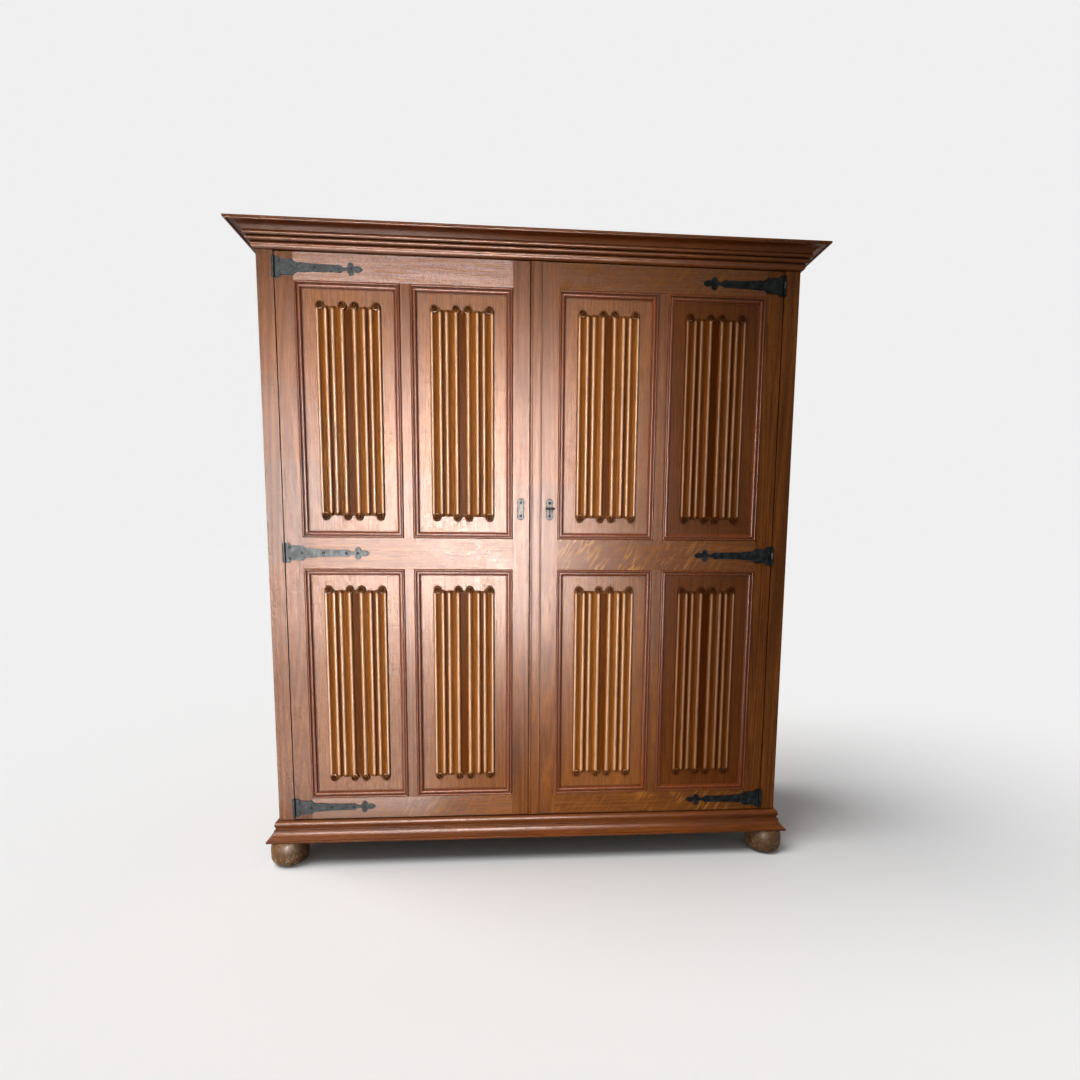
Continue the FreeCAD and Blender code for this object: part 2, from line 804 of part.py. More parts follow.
# Section from the frame towards the panel: share of the width, share of the height above the panel.
MOULDING_SHARES = [
    (1.0, 0.0),
    (1.0, 0.16),
    (0.9, 0.16),
    (0.74, 0.66, 0.42, 0.74),
    (0.38, 0.62),
    (0.33, 0.62),
    (0.165, 1.16, 0.0, 0.8),
    (0.0, 0.0),
]


def mitred_strip(length):
    """One strip along X with its outer edge on the line y = 0, mitred at both ends."""
    width, height = s.moulding_width.mm, s.moulding_height.mm
    edges = []
    here = (MOULDING_SHARES[-1][-2], MOULDING_SHARES[-1][-1])
    for row in MOULDING_SHARES:
        points = [Vector(0, here[0] * width, here[1] * height)]
        points += [Vector(0, row[spot] * width, row[spot + 1] * height)
                   for spot in range(0, len(row), 2)]
        curve = Part.Arc(*points) if len(points) == 3 else Part.LineSegment(*points)
        edges.append(curve.toShape())
        here = row[-2:]
    bar = Part.Face(Part.Wire(edges)).extrude(Vector(length, 0, 0))
    tall = 2 * height
    corners = [(0, 0), (length, 0), (length - width, width), (width, width)]
    trapezoid = Part.makePolygon([Vector(x, y, 0) for x, y in corners + corners[:1]])
    prism = Part.Face(trapezoid).extrude(Vector(0, 0, tall))
    return bar.common(prism)


def panel_mouldings():
    """Sixteen strips: four round each panel, standing on the panel and against the frame."""
    strips = []
    upright = Rotation(Vector(1, 0, 0), 90)
    for opening in (lower_opening, upper_opening):
        for column in (inner_column, outer_column):
            left, right = -column[1].mm, -column[0].mm
            low, high = opening[0].mm, opening[1].mm
            corners = [(left, low), (right, low), (right, high), (left, high)]
            for turn, (x, z) in enumerate(corners):
                length = (high - low) if turn % 2 else (right - left)
                strip = mitred_strip(length)
                facing = Rotation(Vector(0, -1, 0), 90 * turn) * upright
                strip.Placement = Placement(Vector(x, DOOR_GROOVE[0].mm, z), facing)
                strips.append(strip)
    left_set = doc.addObject("Part::Feature", "panel_mouldings_set")
    left_set.Shape = Part.makeCompound(strips)
    finish("panel_mouldings_left", left_set)
    finish("panel_mouldings_right", mirrored("panel_mouldings_right", left_set))


# Strap hinges: a long strap on the door, a leaf and pin on the post

# Upper edge of the strap from the pin to its tip: share of the length, share of half the hinge's height.
STRAP_SHARES = [
    (0.055, 1.0),
    (0.08, 0.8, 0.125, 0.76),
    (0.215, 0.76),
    (0.235, 0.56, 0.3, 0.48),
    (0.42, 0.38),
    (0.7, 0.33),
    (0.745, 0.34, 0.775, 0.14),
    (0.835, 0.17),
    (0.865, 0.62, 0.895, 0.17),
    (0.94, 0.3, 1.0, 0.0),
]
NAIL_SHARES = [(0.064, 0.56), (0.064, -0.56), (0.202, 0.0), (0.458, 0.0), (0.728, 0.0), (0.865, 0.0)]


def strap_outline():
    half = s.hinge_height / 2
    zero = Size("0", 0)
    upper = [(zero, half)] + scaled(STRAP_SHARES, s.strap_length, half)
    lower = []
    for index in range(len(upper) - 2, -1, -1):
        arc = upper[index + 1][:2] if len(upper[index + 1]) == 4 else ()
        run = arc + upper[index][-2:]
        lower.append(tuple(-value if spot % 2 else value for spot, value in enumerate(run)))
    return upper[1:] + lower + [upper[0]]


def nail_places():
    """Where the nails go through the left door's three straps."""
    half = s.hinge_height / 2
    return [(-pin_x + share * s.strap_length, level + rise * half)
            for level in hinge_levels for share, rise in NAIL_SHARES]


def plate_pin_places():
    """Two pins hold the left door's key plate."""
    middle = lock_level - s.plate_below_key
    return [(-s.lock_from_middle, middle + side * s.plate_height) for side in (0.3, -0.3)]


def nail_hole(name, place):
    radius = s.nail_radius + s.nail_clearance
    start = front - s.strap_thickness - s.overrun
    return rod(name, radius, place[0], start, place[1], s.nail_length + s.strap_thickness + s.overrun, "y")


def nail(name, place, seat):
    """A hand-made nail: a low domed head and a round shank."""
    head = doc.addObject("Part::Ellipsoid", f"{name}_head")
    bind(head, "Radius1", s.nail_head_height)
    bind(head, "Radius2", s.nail_head_radius)
    bind(head, "Radius3", s.nail_head_radius)
    head.Angle1 = 0
    head.Angle2 = 90
    put(head, place[0], seat, place[1], AXIS_TURNS["-y"])
    shank = rod(f"{name}_shank", s.nail_radius, place[0], seat, place[1], s.nail_length, "y")
    return join(name, [head, shank])


def hinges():
    straps, pintles = [], []
    third = s.hinge_height / 3
    holes = gather("strap_nail_holes", [nail_hole(f"strap_hole_{number}", place)
                                        for number, place in enumerate(nail_places())])
    for number, level in enumerate(hinge_levels):
        low = level - s.hinge_height / 2
        plate = new_body(f"strap_plate_{number}")
        runs = strap_outline()
        pad(plate, outline_sketch(plate, "XZ_Plane", runs[-1], runs), s.strap_thickness)
        put(plate, -pin_x, front, level)
        knuckle = rod(f"strap_knuckle_{number}", s.knuckle_radius, -pin_x, pin_y, low, s.hinge_height, "z")
        bore = rod(f"strap_bore_{number}", s.pin_radius + s.pin_clearance, -pin_x, pin_y,
                   low - s.overrun, s.hinge_height + s.overrun * 2, "z")
        reach = s.knuckle_radius + s.knuckle_clearance
        room = block(f"strap_room_{number}", around(-pin_x, reach * 2), (pin_y - reach, front + reach),
                     wider((low + third, low + third * 2), s.knuckle_clearance))
        solid = join(f"strap_solid_{number}", [plate, knuckle])
        straps.append(cut(f"strap_{number}", solid, [bore, room, holes]))
        pin = rod(f"pin_{number}", s.pin_radius, -pin_x, pin_y, low, s.hinge_height, "z")
        barrel = rod(f"barrel_{number}", s.knuckle_radius, -pin_x, pin_y, low + third, third, "z")
        leaf_x = (-post_line, -post_line + s.leaf_thickness)
        neck = block(f"neck_{number}", leaf_x, (pin_y, front), (low + third, low + third * 2))
        leaf = block(f"leaf_{number}", leaf_x, (front, front + s.leaf_depth), (low, low + s.hinge_height))
        pintles.append(join(f"pintle_{number}", [pin, barrel, neck, leaf]))
    left_straps = finish("strap_hinges_left", gather("strap_hinges_left", straps))
    finish("strap_hinges_right", mirrored("strap_hinges_right", left_straps))
    left_pintles = gather("hinge_pintles_left", pintles)
    right_pintles = mirrored("hinge_pintles_right", left_pintles)
    finish("hinge_pintles", gather("hinge_pintles", [left_pintles, right_pintles]))


def nails():
    strap_face = front - s.strap_thickness
    plate_face = front - s.plate_thickness
    left = [nail(f"nail_{number}", place, strap_face) for number, place in enumerate(nail_places())]
    left += [nail(f"plate_pin_{number}", place, plate_face)
             for number, place in enumerate(plate_pin_places())]
    left_nails = finish("iron_nails_left", gather("iron_nails_left", left))
    finish("iron_nails_right", mirrored("iron_nails_right", left_nails))


# Key plates, lock and key

# Right half of the key plate from its top to its foot: share of half the width, share of half the height.
PLATE_SHARES = [
    (0.42, 0.96, 0.74, 0.78),
    (0.98, 0.7),
    (1.0, 0.62),
    (0.8, 0.52),
    (0.78, 0.3, 0.94, 0.18),
    (0.94, -0.18),
    (0.78, -0.3, 0.8, -0.52),
    (1.0, -0.62),
    (0.98, -0.7),
    (0.74, -0.78),
    (0.42, -0.96, 0.0, -1.0),
]


def key_plate(name, side):
    """A cusped iron plate with a keyhole, centred on the stile."""
    body = new_body(name)
    half_plate, half_tall = s.plate_width / 2, s.plate_height / 2
    zero = Size("0", 0)
    right = scaled(PLATE_SHARES, half_plate, half_tall)
    top = (zero, half_tall)
    corners = [top] + right
    left = []
    for index in range(len(corners) - 2, -1, -1):
        arc = corners[index + 1][:2] if len(corners[index + 1]) == 4 else ()
        left.append(tuple(value if spot % 2 else -value
                          for spot, value in enumerate(arc + corners[index][-2:])))
    pad(body, outline_sketch(body, "XZ_Plane", top, right + left), s.plate_thickness)
    put(body, side * s.lock_from_middle, front, lock_level - s.plate_below_key)
    return body


def key_plates():
    pin_holes = [nail_hole(f"plate_hole_{number}", place)
                 for number, place in enumerate(plate_pin_places())]
    hole = keyhole("plate_keyhole", s.plate_thickness)
    mirrored_hole = [mirrored(f"{tool.Name}_left", tool) for tool in hole]
    left = key_plate("left_plate", -1)
    finish("key_plate_left", cut("key_plate_left", left, pin_holes + mirrored_hole))
    right_pins = [mirrored(f"{tool.Name}_right", tool) for tool in pin_holes]
    finish("key_plate_right", cut("key_plate_right", key_plate("right_plate", 1), right_pins + hole))


def lock():
    """A rim lock behind the right door's stile: case, sliding bolt and key."""
    case_x = (-s.case_edge, -s.case_edge + s.case_width)
    case_y = (door_back, door_back + s.case_depth)
    case_z = around(lock_level, s.case_height)
    inside = block("case_inside", wider(case_x, -s.case_wall),
                   (door_back - s.overrun, case_y[1] - s.case_wall), wider(case_z, -s.case_wall))
    bolt_y = (door_back + s.lock_bolt_inset, door_back + s.lock_bolt_inset + s.lock_bolt_thickness)
    bolt_z = (lock_level + s.lock_bolt_rise, lock_level + s.lock_bolt_rise + s.lock_bolt_height)
    slot = block("bolt_slot", (case_x[0] - s.overrun, case_x[0] + s.overrun),
                 wider(bolt_y, s.lock_bolt_clearance), wider(bolt_z, s.lock_bolt_clearance))
    tip_hole = rod("key_tip_hole", s.key_shank_radius + s.key_tip_clearance, s.lock_from_middle,
                   case_y[1] - s.case_wall - s.overrun, lock_level, s.case_wall + s.overrun * 2, "y")
    case = block("case_blank", case_x, case_y, case_z)
    finish("lock_case", cut("lock_case", case, [inside, slot, tip_hole]))
    finish("lock_bolt", block("lock_bolt", (case_x[0], case_x[0] + s.lock_bolt_length), bolt_y, bolt_z))

    keeper_end = -s.meeting_offset - s.meeting_gap
    mouth_end = keeper_end - s.lock_bolt_throw
    keeper = block("keeper_blank", (mouth_end - s.keeper_wall, keeper_end), case_y,
                   wider(bolt_z, s.keeper_wall + s.keeper_room))
    mouth = block("keeper_mouth", (mouth_end, keeper_end + s.overrun),
                  wider(bolt_y, s.keeper_room), wider(bolt_z, s.keeper_room))
    finish("keeper", cut("keeper", keeper, [mouth]))

    shank_start = front - s.key_reach + s.key_bow_radius
    shank = rod("key_shank", s.key_shank_radius, s.lock_from_middle, shank_start, lock_level,
                case_y[1] - shank_start, "y")
    bow = doc.addObject("Part::Torus", "key_bow")
    bind(bow, "Radius1", s.key_bow_radius)
    bind(bow, "Radius2", s.key_bow_wire)
    put(bow, s.lock_from_middle, front - s.key_reach, lock_level)
    bit_y = (door_back + s.key_bit_inset, door_back + s.key_bit_inset + s.key_bit_width)
    bit_end = s.lock_from_middle + s.key_shank_radius + s.key_bit_length
    bit = block("key_bit", (s.lock_from_middle, bit_end), bit_y, around(lock_level, s.key_bit_thickness))
    finish("key", join("key", [shank, bow, bit]))


# Bolts that hold the left door at the top and the bottom

def door_bolt(name, end, direction):
    """A round bolt in two loops on a plate: it slides away from the door's middle."""
    x, y = bolt_axis()

    def level(distance):
        return end - direction * distance

    def span(near, far):
        low, high = level(near), level(far)
        return (high, low) if direction > 0 else (low, high)

    plate_x = around(x, s.bolt_plate_width)
    plate_up = span(s.bolt_loop_inset - s.bolt_end_gap, s.bolt_plate_length)
    parts = [block(f"{name}_plate", plate_x, (door_back, door_back + s.bolt_plate_thickness), plate_up)]
    loop_near = s.bolt_loop_inset
    loop_far = s.bolt_plate_length - s.bolt_loop_height - s.bolt_end_gap
    for number, place in enumerate((loop_near, loop_far)):
        outer = s.bolt_radius + s.bolt_loop_wall
        parts.append(block(f"{name}_loop_{number}", (x - outer, x + outer), (door_back, y + outer),
                           span(place, place + s.bolt_loop_height)))
    bore_up = wider(plate_up, s.overrun)
    bore = rod(f"{name}_bore", s.bolt_radius + s.bolt_clearance, x, y, bore_up[0],
               bore_up[1] - bore_up[0], "z")
    fixed = cut(f"{name}_guide", join(f"{name}_fixed", parts), [bore])
    bolt_up = span(Size("0", 0), s.bolt_length)
    bar = rod(f"{name}_bar", s.bolt_radius, x, y, bolt_up[0], s.bolt_length, "z")
    knob = rod(f"{name}_knob", s.bolt_knob_radius, x, y, level(s.bolt_knob_drop), s.bolt_knob_length, "y")
    return fixed, join(name, [bar, knob])


def door_bolts():
    top_end = zone_top - s.stop_lap - s.bolt_end_gap
    bottom_end = zone_bottom + s.stop_lap + s.bolt_end_gap
    top_guide, top_bolt = door_bolt("top_bolt", top_end, 1)
    bottom_guide, bottom_bolt = door_bolt("bottom_bolt", bottom_end, -1)
    finish("door_bolt_guides", gather("door_bolt_guides", [top_guide, bottom_guide]))
    finish("door_bolt_top", top_bolt)
    finish("door_bolt_bottom", bottom_bolt)


# Inside: a partition, shelves on bearers to the left and a hanging rail to the right

SHELF_LEVEL_SHARES = (0.25, 0.5, 0.75)


def inside():
    floor_top = zone_bottom + s.stop_lap
    depth = (front + s.partition_setback, back - s.side_thickness)
    partition_x = around(Size("0", 0), s.partition_thickness)
    finish("centre_partition", block("centre_partition", partition_x, depth, (floor_top, roof_bottom)))
    room = roof_bottom - floor_top
    shelves, bearers = [], []
    bearer_y = (front + s.partition_setback, back - s.side_thickness - s.shelf_play)
    for number, share in enumerate(SHELF_LEVEL_SHARES):
        level = floor_top + share * room
        shelf_x = (-frame_line + s.shelf_play, partition_x[0] - s.shelf_play)
        shelf_y = (front + s.shelf_setback, back - s.side_thickness - s.shelf_play)
        shelf = block(f"shelf_{number}", shelf_x, shelf_y, (level, level + s.shelf_thickness))
        notch = block(f"shelf_notch_{number}", (-half_width, -frame_line + s.shelf_play * 2),
                      (back - s.rear_post_depth - s.shelf_play, back),
                      wider((level, level + s.shelf_thickness), s.overrun))
        shelves.append(cut(f"notched_shelf_{number}", shelf, [notch]))
        under = (level - s.bearer_height, level)
        for side, start in (("side", -frame_line), ("middle", partition_x[0] - s.bearer_width)):
            bearer_x = (start, start + s.bearer_width)
            bearers.append(block(f"bearer_{side}_{number}", bearer_x, bearer_y, under))
    finish("shelves", gather("shelves", shelves))
    finish("shelf_bearers", gather("shelf_bearers", bearers))
    rail_level = zone_top - s.hanging_rail_drop
    middle_y = (front + back) / 2
    ends = (partition_x[1], half_width - s.side_thickness)
    sockets = []
    for number, start in enumerate((ends[0], ends[1] - s.socket_thickness)):
        cup = rod(f"socket_{number}", s.socket_radius, start, middle_y, rail_level,
                  s.socket_thickness, "x")
        mouth_start = start + s.socket_floor if number == 0 else start - s.overrun
        mouth_length = s.socket_thickness - s.socket_floor + s.overrun
        mouth = rod(f"socket_mouth_{number}", s.hanging_rail_radius + s.socket_clearance, mouth_start,
                    middle_y, rail_level, mouth_length, "x")
        sockets.append(cut(f"cup_{number}", cup, [mouth]))
    finish("rail_sockets", gather("rail_sockets", sockets))
    rail_ends = wider(ends, -s.socket_floor)
    finish("hanging_rail", rod("hanging_rail", s.hanging_rail_radius, rail_ends[0], middle_y, rail_level,
                               rail_ends[1] - rail_ends[0], "x"))


def carcass():
    for name, post in (("post_front", front_post()), ("post_rear", rear_post())):
        finish(f"{name}_left", post)
        finish(f"{name}_right", mirrored(f"{name}_right", post))
    for name, piece in zip(("side_rails", "side_panels"), side_frame()):
        finish(f"{name}_left", piece)
        finish(f"{name}_right", mirrored(f"{name}_right", piece))
    front_rails()
    floor_and_roof()
    back_frame()
    moulded_surround("cornice", CORNICE_SHARES, s.cornice_overhang, s.cornice_height, zone_top)
    moulded_surround("plinth", PLINTH_SHARES, s.plinth_overhang, s.plinth_height, s.foot_height)
    feet()


def check_and_export():
    doc.recompute()
    for thing in doc.Objects:
        broken = {"Invalid", "Error"} & set(thing.State)
        if broken:
            raise RuntimeError(f"{thing.Name} failed to build")
    for label, thing in finished.items():
        if thing.Label != label:
            raise RuntimeError(f"{label} was renamed to {thing.Label}")
        if thing.Shape.isNull() or not thing.Shape.isValid():
            raise RuntimeError(f"{label} has no valid shape")
    os.makedirs("parts", exist_ok=True)
    for label, thing in finished.items():
        thing.Shape.exportStep(f"parts/{label}.step")


carcass()
door_frame()
meeting_stiles()
meeting_strip()
linen_panels()
panel_mouldings()
hinges()
nails()
key_plates()
lock()
door_bolts()
inside()
check_and_export()
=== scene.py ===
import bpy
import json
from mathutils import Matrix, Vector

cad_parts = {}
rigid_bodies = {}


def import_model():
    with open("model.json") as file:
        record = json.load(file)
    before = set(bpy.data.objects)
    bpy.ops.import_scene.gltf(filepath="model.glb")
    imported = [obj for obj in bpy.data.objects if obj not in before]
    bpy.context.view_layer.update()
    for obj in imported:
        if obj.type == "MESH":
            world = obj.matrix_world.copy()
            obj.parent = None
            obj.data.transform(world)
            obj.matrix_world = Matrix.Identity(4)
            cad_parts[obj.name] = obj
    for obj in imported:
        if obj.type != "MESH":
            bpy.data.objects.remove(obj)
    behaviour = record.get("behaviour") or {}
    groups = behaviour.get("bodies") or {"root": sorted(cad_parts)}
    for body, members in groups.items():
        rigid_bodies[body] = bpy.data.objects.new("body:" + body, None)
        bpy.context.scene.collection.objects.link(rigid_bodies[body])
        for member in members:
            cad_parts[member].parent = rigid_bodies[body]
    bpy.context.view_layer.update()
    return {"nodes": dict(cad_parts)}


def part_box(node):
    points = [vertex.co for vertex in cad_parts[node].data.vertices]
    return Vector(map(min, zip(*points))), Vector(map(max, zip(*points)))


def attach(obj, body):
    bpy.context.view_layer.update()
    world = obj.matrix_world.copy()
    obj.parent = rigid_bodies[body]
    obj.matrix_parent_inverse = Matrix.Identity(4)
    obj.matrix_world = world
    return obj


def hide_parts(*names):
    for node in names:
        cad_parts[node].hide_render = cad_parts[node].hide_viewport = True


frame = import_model()

import json
import math

import bmesh
import bpy
from mathutils import Matrix, Vector

# A joined oak cupboard: carved linenfold panels, mitred mouldings, strap hinges and bun feet.
# Everything is in metres. X runs to the right of someone facing the doors, Y to the back, Z up.

MM = 0.001
FULL_TURN = 2 * math.pi
SIDES = (("left", -1), ("right", 1))

# Lines of the cupboard that several pieces follow

PANEL_SETBACK = 9 * MM
PANEL_THICKNESS = 8 * MM
TONGUE = 9 * MM
DOOR_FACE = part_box("hinge_stile_left")[0].y
PANEL_FACE = DOOR_FACE + PANEL_SETBACK
PANEL_BACK = PANEL_FACE + PANEL_THICKNESS
CARCASS_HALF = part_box("top_board")[1].x
CARCASS_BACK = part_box("top_board")[1].y
OPENING_COLUMNS = ((68.5 * MM, 369.25 * MM), (397.25 * MM, 698 * MM))
OPENING_WIDTH = OPENING_COLUMNS[0][1] - OPENING_COLUMNS[0][0]
MUNTIN_MIDDLE = (OPENING_COLUMNS[0][1] + OPENING_COLUMNS[1][0]) / 2
UPPER_OPENING = (
    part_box("linenfold_upper_left")[0].z + TONGUE,
    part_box("linenfold_upper_left")[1].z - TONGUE,
)
LOWER_OPENING = (
    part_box("linenfold_lower_left")[0].z + TONGUE,
    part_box("linenfold_lower_left")[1].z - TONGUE,
)
FOLD_END_MARGIN = 67.5 * MM


def middle(low, high):
    return (low + high) / 2


# Modelling helpers

SAME_PLACE = 0.01 * MM
FLAT_DEGREES = 0.5
CREASE_DEGREES = 35
CARVED_CREASE_DEGREES = 40
BEVEL_DEGREES = 30
CARVED_BEVEL_DEGREES = 50
BEVEL_STEPS = 2
WIDE_FACE_WEIGHT = 90
ARC_STEPS = 7
UNTURNED = Matrix.Identity(4)
MIRRORED = Matrix.Diagonal((-1, 1, 1, 1))
UPSIDE_DOWN = Matrix.Diagonal((1, 1, -1, 1))


def deselect():
    if bpy.context.mode != "OBJECT":
        bpy.ops.object.mode_set(mode="OBJECT")
    bpy.ops.object.select_all(action="DESELECT")


def choose(piece):
    deselect()
    piece.select_set(True)
    bpy.context.view_layer.objects.active = piece


def take_all():
    """Selects all of the open mesh."""
    bpy.ops.mesh.select_all(action="SELECT")


def open_mesh(piece):
    """Opens a piece's mesh with all of it selected."""
    choose(piece)
    bpy.ops.object.mode_set(mode="EDIT")
    bpy.ops.mesh.select_mode(type="VERT")
    take_all()


def close_mesh():
    bpy.ops.object.mode_set(mode="OBJECT")


def face_outwards():
    """Turns all faces of the open mesh outwards and closes it."""
    take_all()
    bpy.ops.mesh.normals_make_consistent(inside=False)
    close_mesh()


def pick(piece, test):
    """Selects the corners of an open mesh whose place passes a test."""
    mesh = bmesh.from_edit_mesh(piece.data)
    for corner in mesh.verts:
        corner.select = test(corner.co)
    mesh.select_flush_mode()
    bmesh.update_edit_mesh(piece.data)


def extrude(step):
    bpy.ops.mesh.extrude_region_move(TRANSFORM_OT_translate={"value": step})


def settle(piece):
    """Moves the piece's place into its mesh, so that its object sits at the origin."""
    choose(piece)
    bpy.ops.object.transform_apply(location=True, rotation=True, scale=True)
    return piece


def through(start, midway, end, steps):
    """Points along the arc through three points of a section, without the first."""
    (ax, ay), (bx, by), (cx, cy) = start, midway, end
    turn = 2 * (ax * (by - cy) + bx * (cy - ay) + cx * (ay - by))
    a2, b2, c2 = ax * ax + ay * ay, bx * bx + by * by, cx * cx + cy * cy
    x = (a2 * (by - cy) + b2 * (cy - ay) + c2 * (ay - by)) / turn
    y = (a2 * (cx - bx) + b2 * (ax - cx) + c2 * (bx - ax)) / turn
    radius = math.dist((x, y), start)
    first = math.atan2(ay - y, ax - x)
    last = math.atan2(cy - y, cx - x)
    sweep = (last - first) % FULL_TURN if turn > 0 else -((first - last) % FULL_TURN)
    angles = [first + sweep * step / steps for step in range(1, steps + 1)]
    return [(x + radius * math.cos(angle), y + radius * math.sin(angle)) for angle in angles]


def section(start, runs, width, height, steps=ARC_STEPS):
    """Corner points of a section given in shares of its width and height.

    A run of two shares is straight, and a run of four is an arc by its middle and its end.
    """
    points = [(start[0] * width, start[1] * height)]
    for run in runs:
        ends = [(across * width, up * height) for across, up in zip(run[::2], run[1::2])]
        points += through(points[-1], *ends, steps) if len(ends) == 2 else ends
    return points


def drawn_line(name, points):
    """A line of edges drawn from point to point. Its mesh stays open, with all of it selected."""
    deselect()
    bpy.ops.mesh.primitive_plane_add(size=MM, location=points[0])
    piece = bpy.context.active_object
    piece.name = name
    bpy.ops.object.mode_set(mode="EDIT")
    bpy.ops.mesh.select_mode(type="VERT")
    bpy.ops.mesh.merge(type="CENTER")
    for here, there in zip(points, points[1:]):
        extrude(Vector(there) - Vector(here))
    take_all()
    return piece


def swept_bar(name, points, along):
    """A solid bar: a closed section drawn in space and extruded along a direction."""
    piece = drawn_line(name, points)
    bpy.ops.mesh.edge_face_add()
    extrude(along)
    face_outwards()
    return settle(piece)


def saw(piece, place, normal):
    """Cuts the piece at a plane and keeps the side that the normal points to."""
    open_mesh(piece)
    bpy.ops.mesh.bisect(plane_co=place, plane_no=normal, use_fill=True, clear_inner=True)
    close_mesh()


def smoothed(piece, degrees=CREASE_DEGREES):
    choose(piece)
    bpy.ops.object.shade_smooth_by_angle(angle=math.radians(degrees))
    return piece


def bevelled(piece, width, degrees=BEVEL_DEGREES):
    bevel = piece.modifiers.new("soft_edges", "BEVEL")
    bevel.width = width
    bevel.segments = BEVEL_STEPS
    bevel.limit_method = "ANGLE"
    bevel.angle_limit = math.radians(degrees)
    bevel.use_clamp_overlap = True
    choose(piece)
    bpy.ops.object.modifier_apply(modifier=bevel.name)
    return piece


def flat_faced(piece):
    """Keeps wide faces flat to the light beside their rounded edges."""
    choose(piece)
    weighted = piece.modifiers.new("flat_faces", "WEIGHTED_NORMAL")
    weighted.keep_sharp = True
    weighted.weight = WIDE_FACE_WEIGHT
    bpy.ops.object.modifier_apply(modifier=weighted.name)
    return piece


def copied(piece, name, move=(0, 0, 0), turn=UNTURNED):
    """A copy with its own mesh, turned about the origin and then moved."""
    twin = bpy.data.objects.new(name, piece.data.copy())
    bpy.context.collection.objects.link(twin)
    twin.matrix_world = Matrix.Translation(move) @ turn
    return settle(twin)


def joined(name, parts):
    deselect()
    for part in parts:
        part.select_set(True)
    bpy.context.view_layer.objects.active = parts[0]
    bpy.ops.object.join()
    parts[0].name = name
    return settle(parts[0])


def discard(piece):
    bpy.data.objects.remove(piece)


def softened(node, width):
    """A copy of a CAD node with its edges eased as a plane and long dusting leave them."""
    piece = bpy.data.objects.new(f"{node}_eased", frame["nodes"][node].data.copy())
    bpy.context.collection.objects.link(piece)
    open_mesh(piece)
    bpy.ops.mesh.remove_doubles(threshold=SAME_PLACE)
    bpy.ops.mesh.customdata_custom_splitnormals_clear()
    bpy.ops.mesh.dissolve_limited(angle_limit=math.radians(FLAT_DEGREES))
    close_mesh()
    return flat_faced(smoothed(bevelled(piece, width)))


def dress(piece, material, body, node):
    """Gives a piece its material and the body it rides on, and hides the CAD node that it stands
    for.
    """
    piece.data.materials.clear()
    piece.data.materials.append(material)
    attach(piece, body)
    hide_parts(node)


# Shader helpers

CREVICE_SAMPLES = 6
# The crevice mask darkens corners and grooves: dark wax and soot, and painted shade.
SHADE_AND_GRIME_EDGE = (0.35, 0.9)
SHADE_AND_GRIME_COVER = 0.85


class Recipe:
    """Adds and joins the shader nodes of the world or of a material."""

    def __init__(self, owner):
        owner.use_nodes = True
        self.owner = owner
        self.tree = owner.node_tree

    def feed(self, socket, value):
        if isinstance(value, bpy.types.NodeSocket):
            self.tree.links.new(value, socket)
        else:
            socket.default_value = value

    def add(self, kind, inputs=(), **settings):
        node = self.tree.nodes.new(kind)
        for name, value in settings.items():
            setattr(node, name, value)
        for key, value in dict(inputs).items():
            self.feed(node.inputs[key], value)
        return node

    def shade(self, shader, inputs):
        """Feeds the shader that ends the recipe and gives back what the recipe is for."""
        for name, value in inputs.items():
            self.feed(self.tree.nodes[shader].inputs[name], value)
        return self.owner

    def calc(self, kind, first, second=0.0, third=0.0, clamp=False):
        node = self.add("ShaderNodeMath", operation=kind, use_clamp=clamp)
        for socket, value in zip(node.inputs, (first, second, third)):
            self.feed(socket, value)
        return node.outputs[0]

    def plus(self, first, second, clamp=False):
        return self.calc("ADD", first, second, clamp=clamp)

    def minus(self, first, second, clamp=False):
        return self.calc("SUBTRACT", first, second, clamp=clamp)

    def times(self, first, second):
        return self.calc("MULTIPLY", first, second)

    def swing(self, value, reach):
        """Spreads a value that runs from 0 to 1 evenly round 0."""
        return self.calc("MULTIPLY_ADD", value, reach, -reach / 2)

    def fade(self, value, low, high, start=0.0, end=1.0):
        """Turns the stretch between low and high into a smooth step."""
        inputs = {"Value": value, "From Min": low, "From Max": high, "To Min": start, "To Max": end}
        node = self.add("ShaderNodeMapRange", inputs, interpolation_type="SMOOTHSTEP")
        return node.outputs["Result"]

    def blend(self, share, first, second, kind="MIX"):
        node = self.add("ShaderNodeMix", data_type="RGBA", blend_type=kind)
        self.feed(node.inputs[0], share)
        self.feed(node.inputs[6], first)
        self.feed(node.inputs[7], second)
        return node.outputs[2]

    def looked_at(self):
        """Is 1 for what the camera sees, also through glass and in reflections."""
        rays = self.add("ShaderNodeLightPath").outputs
        straight = self.calc("MAXIMUM", rays["Is Camera Ray"], rays["Is Transmission Ray"])
        return self.calc("MAXIMUM", straight, rays["Is Glossy Ray"])


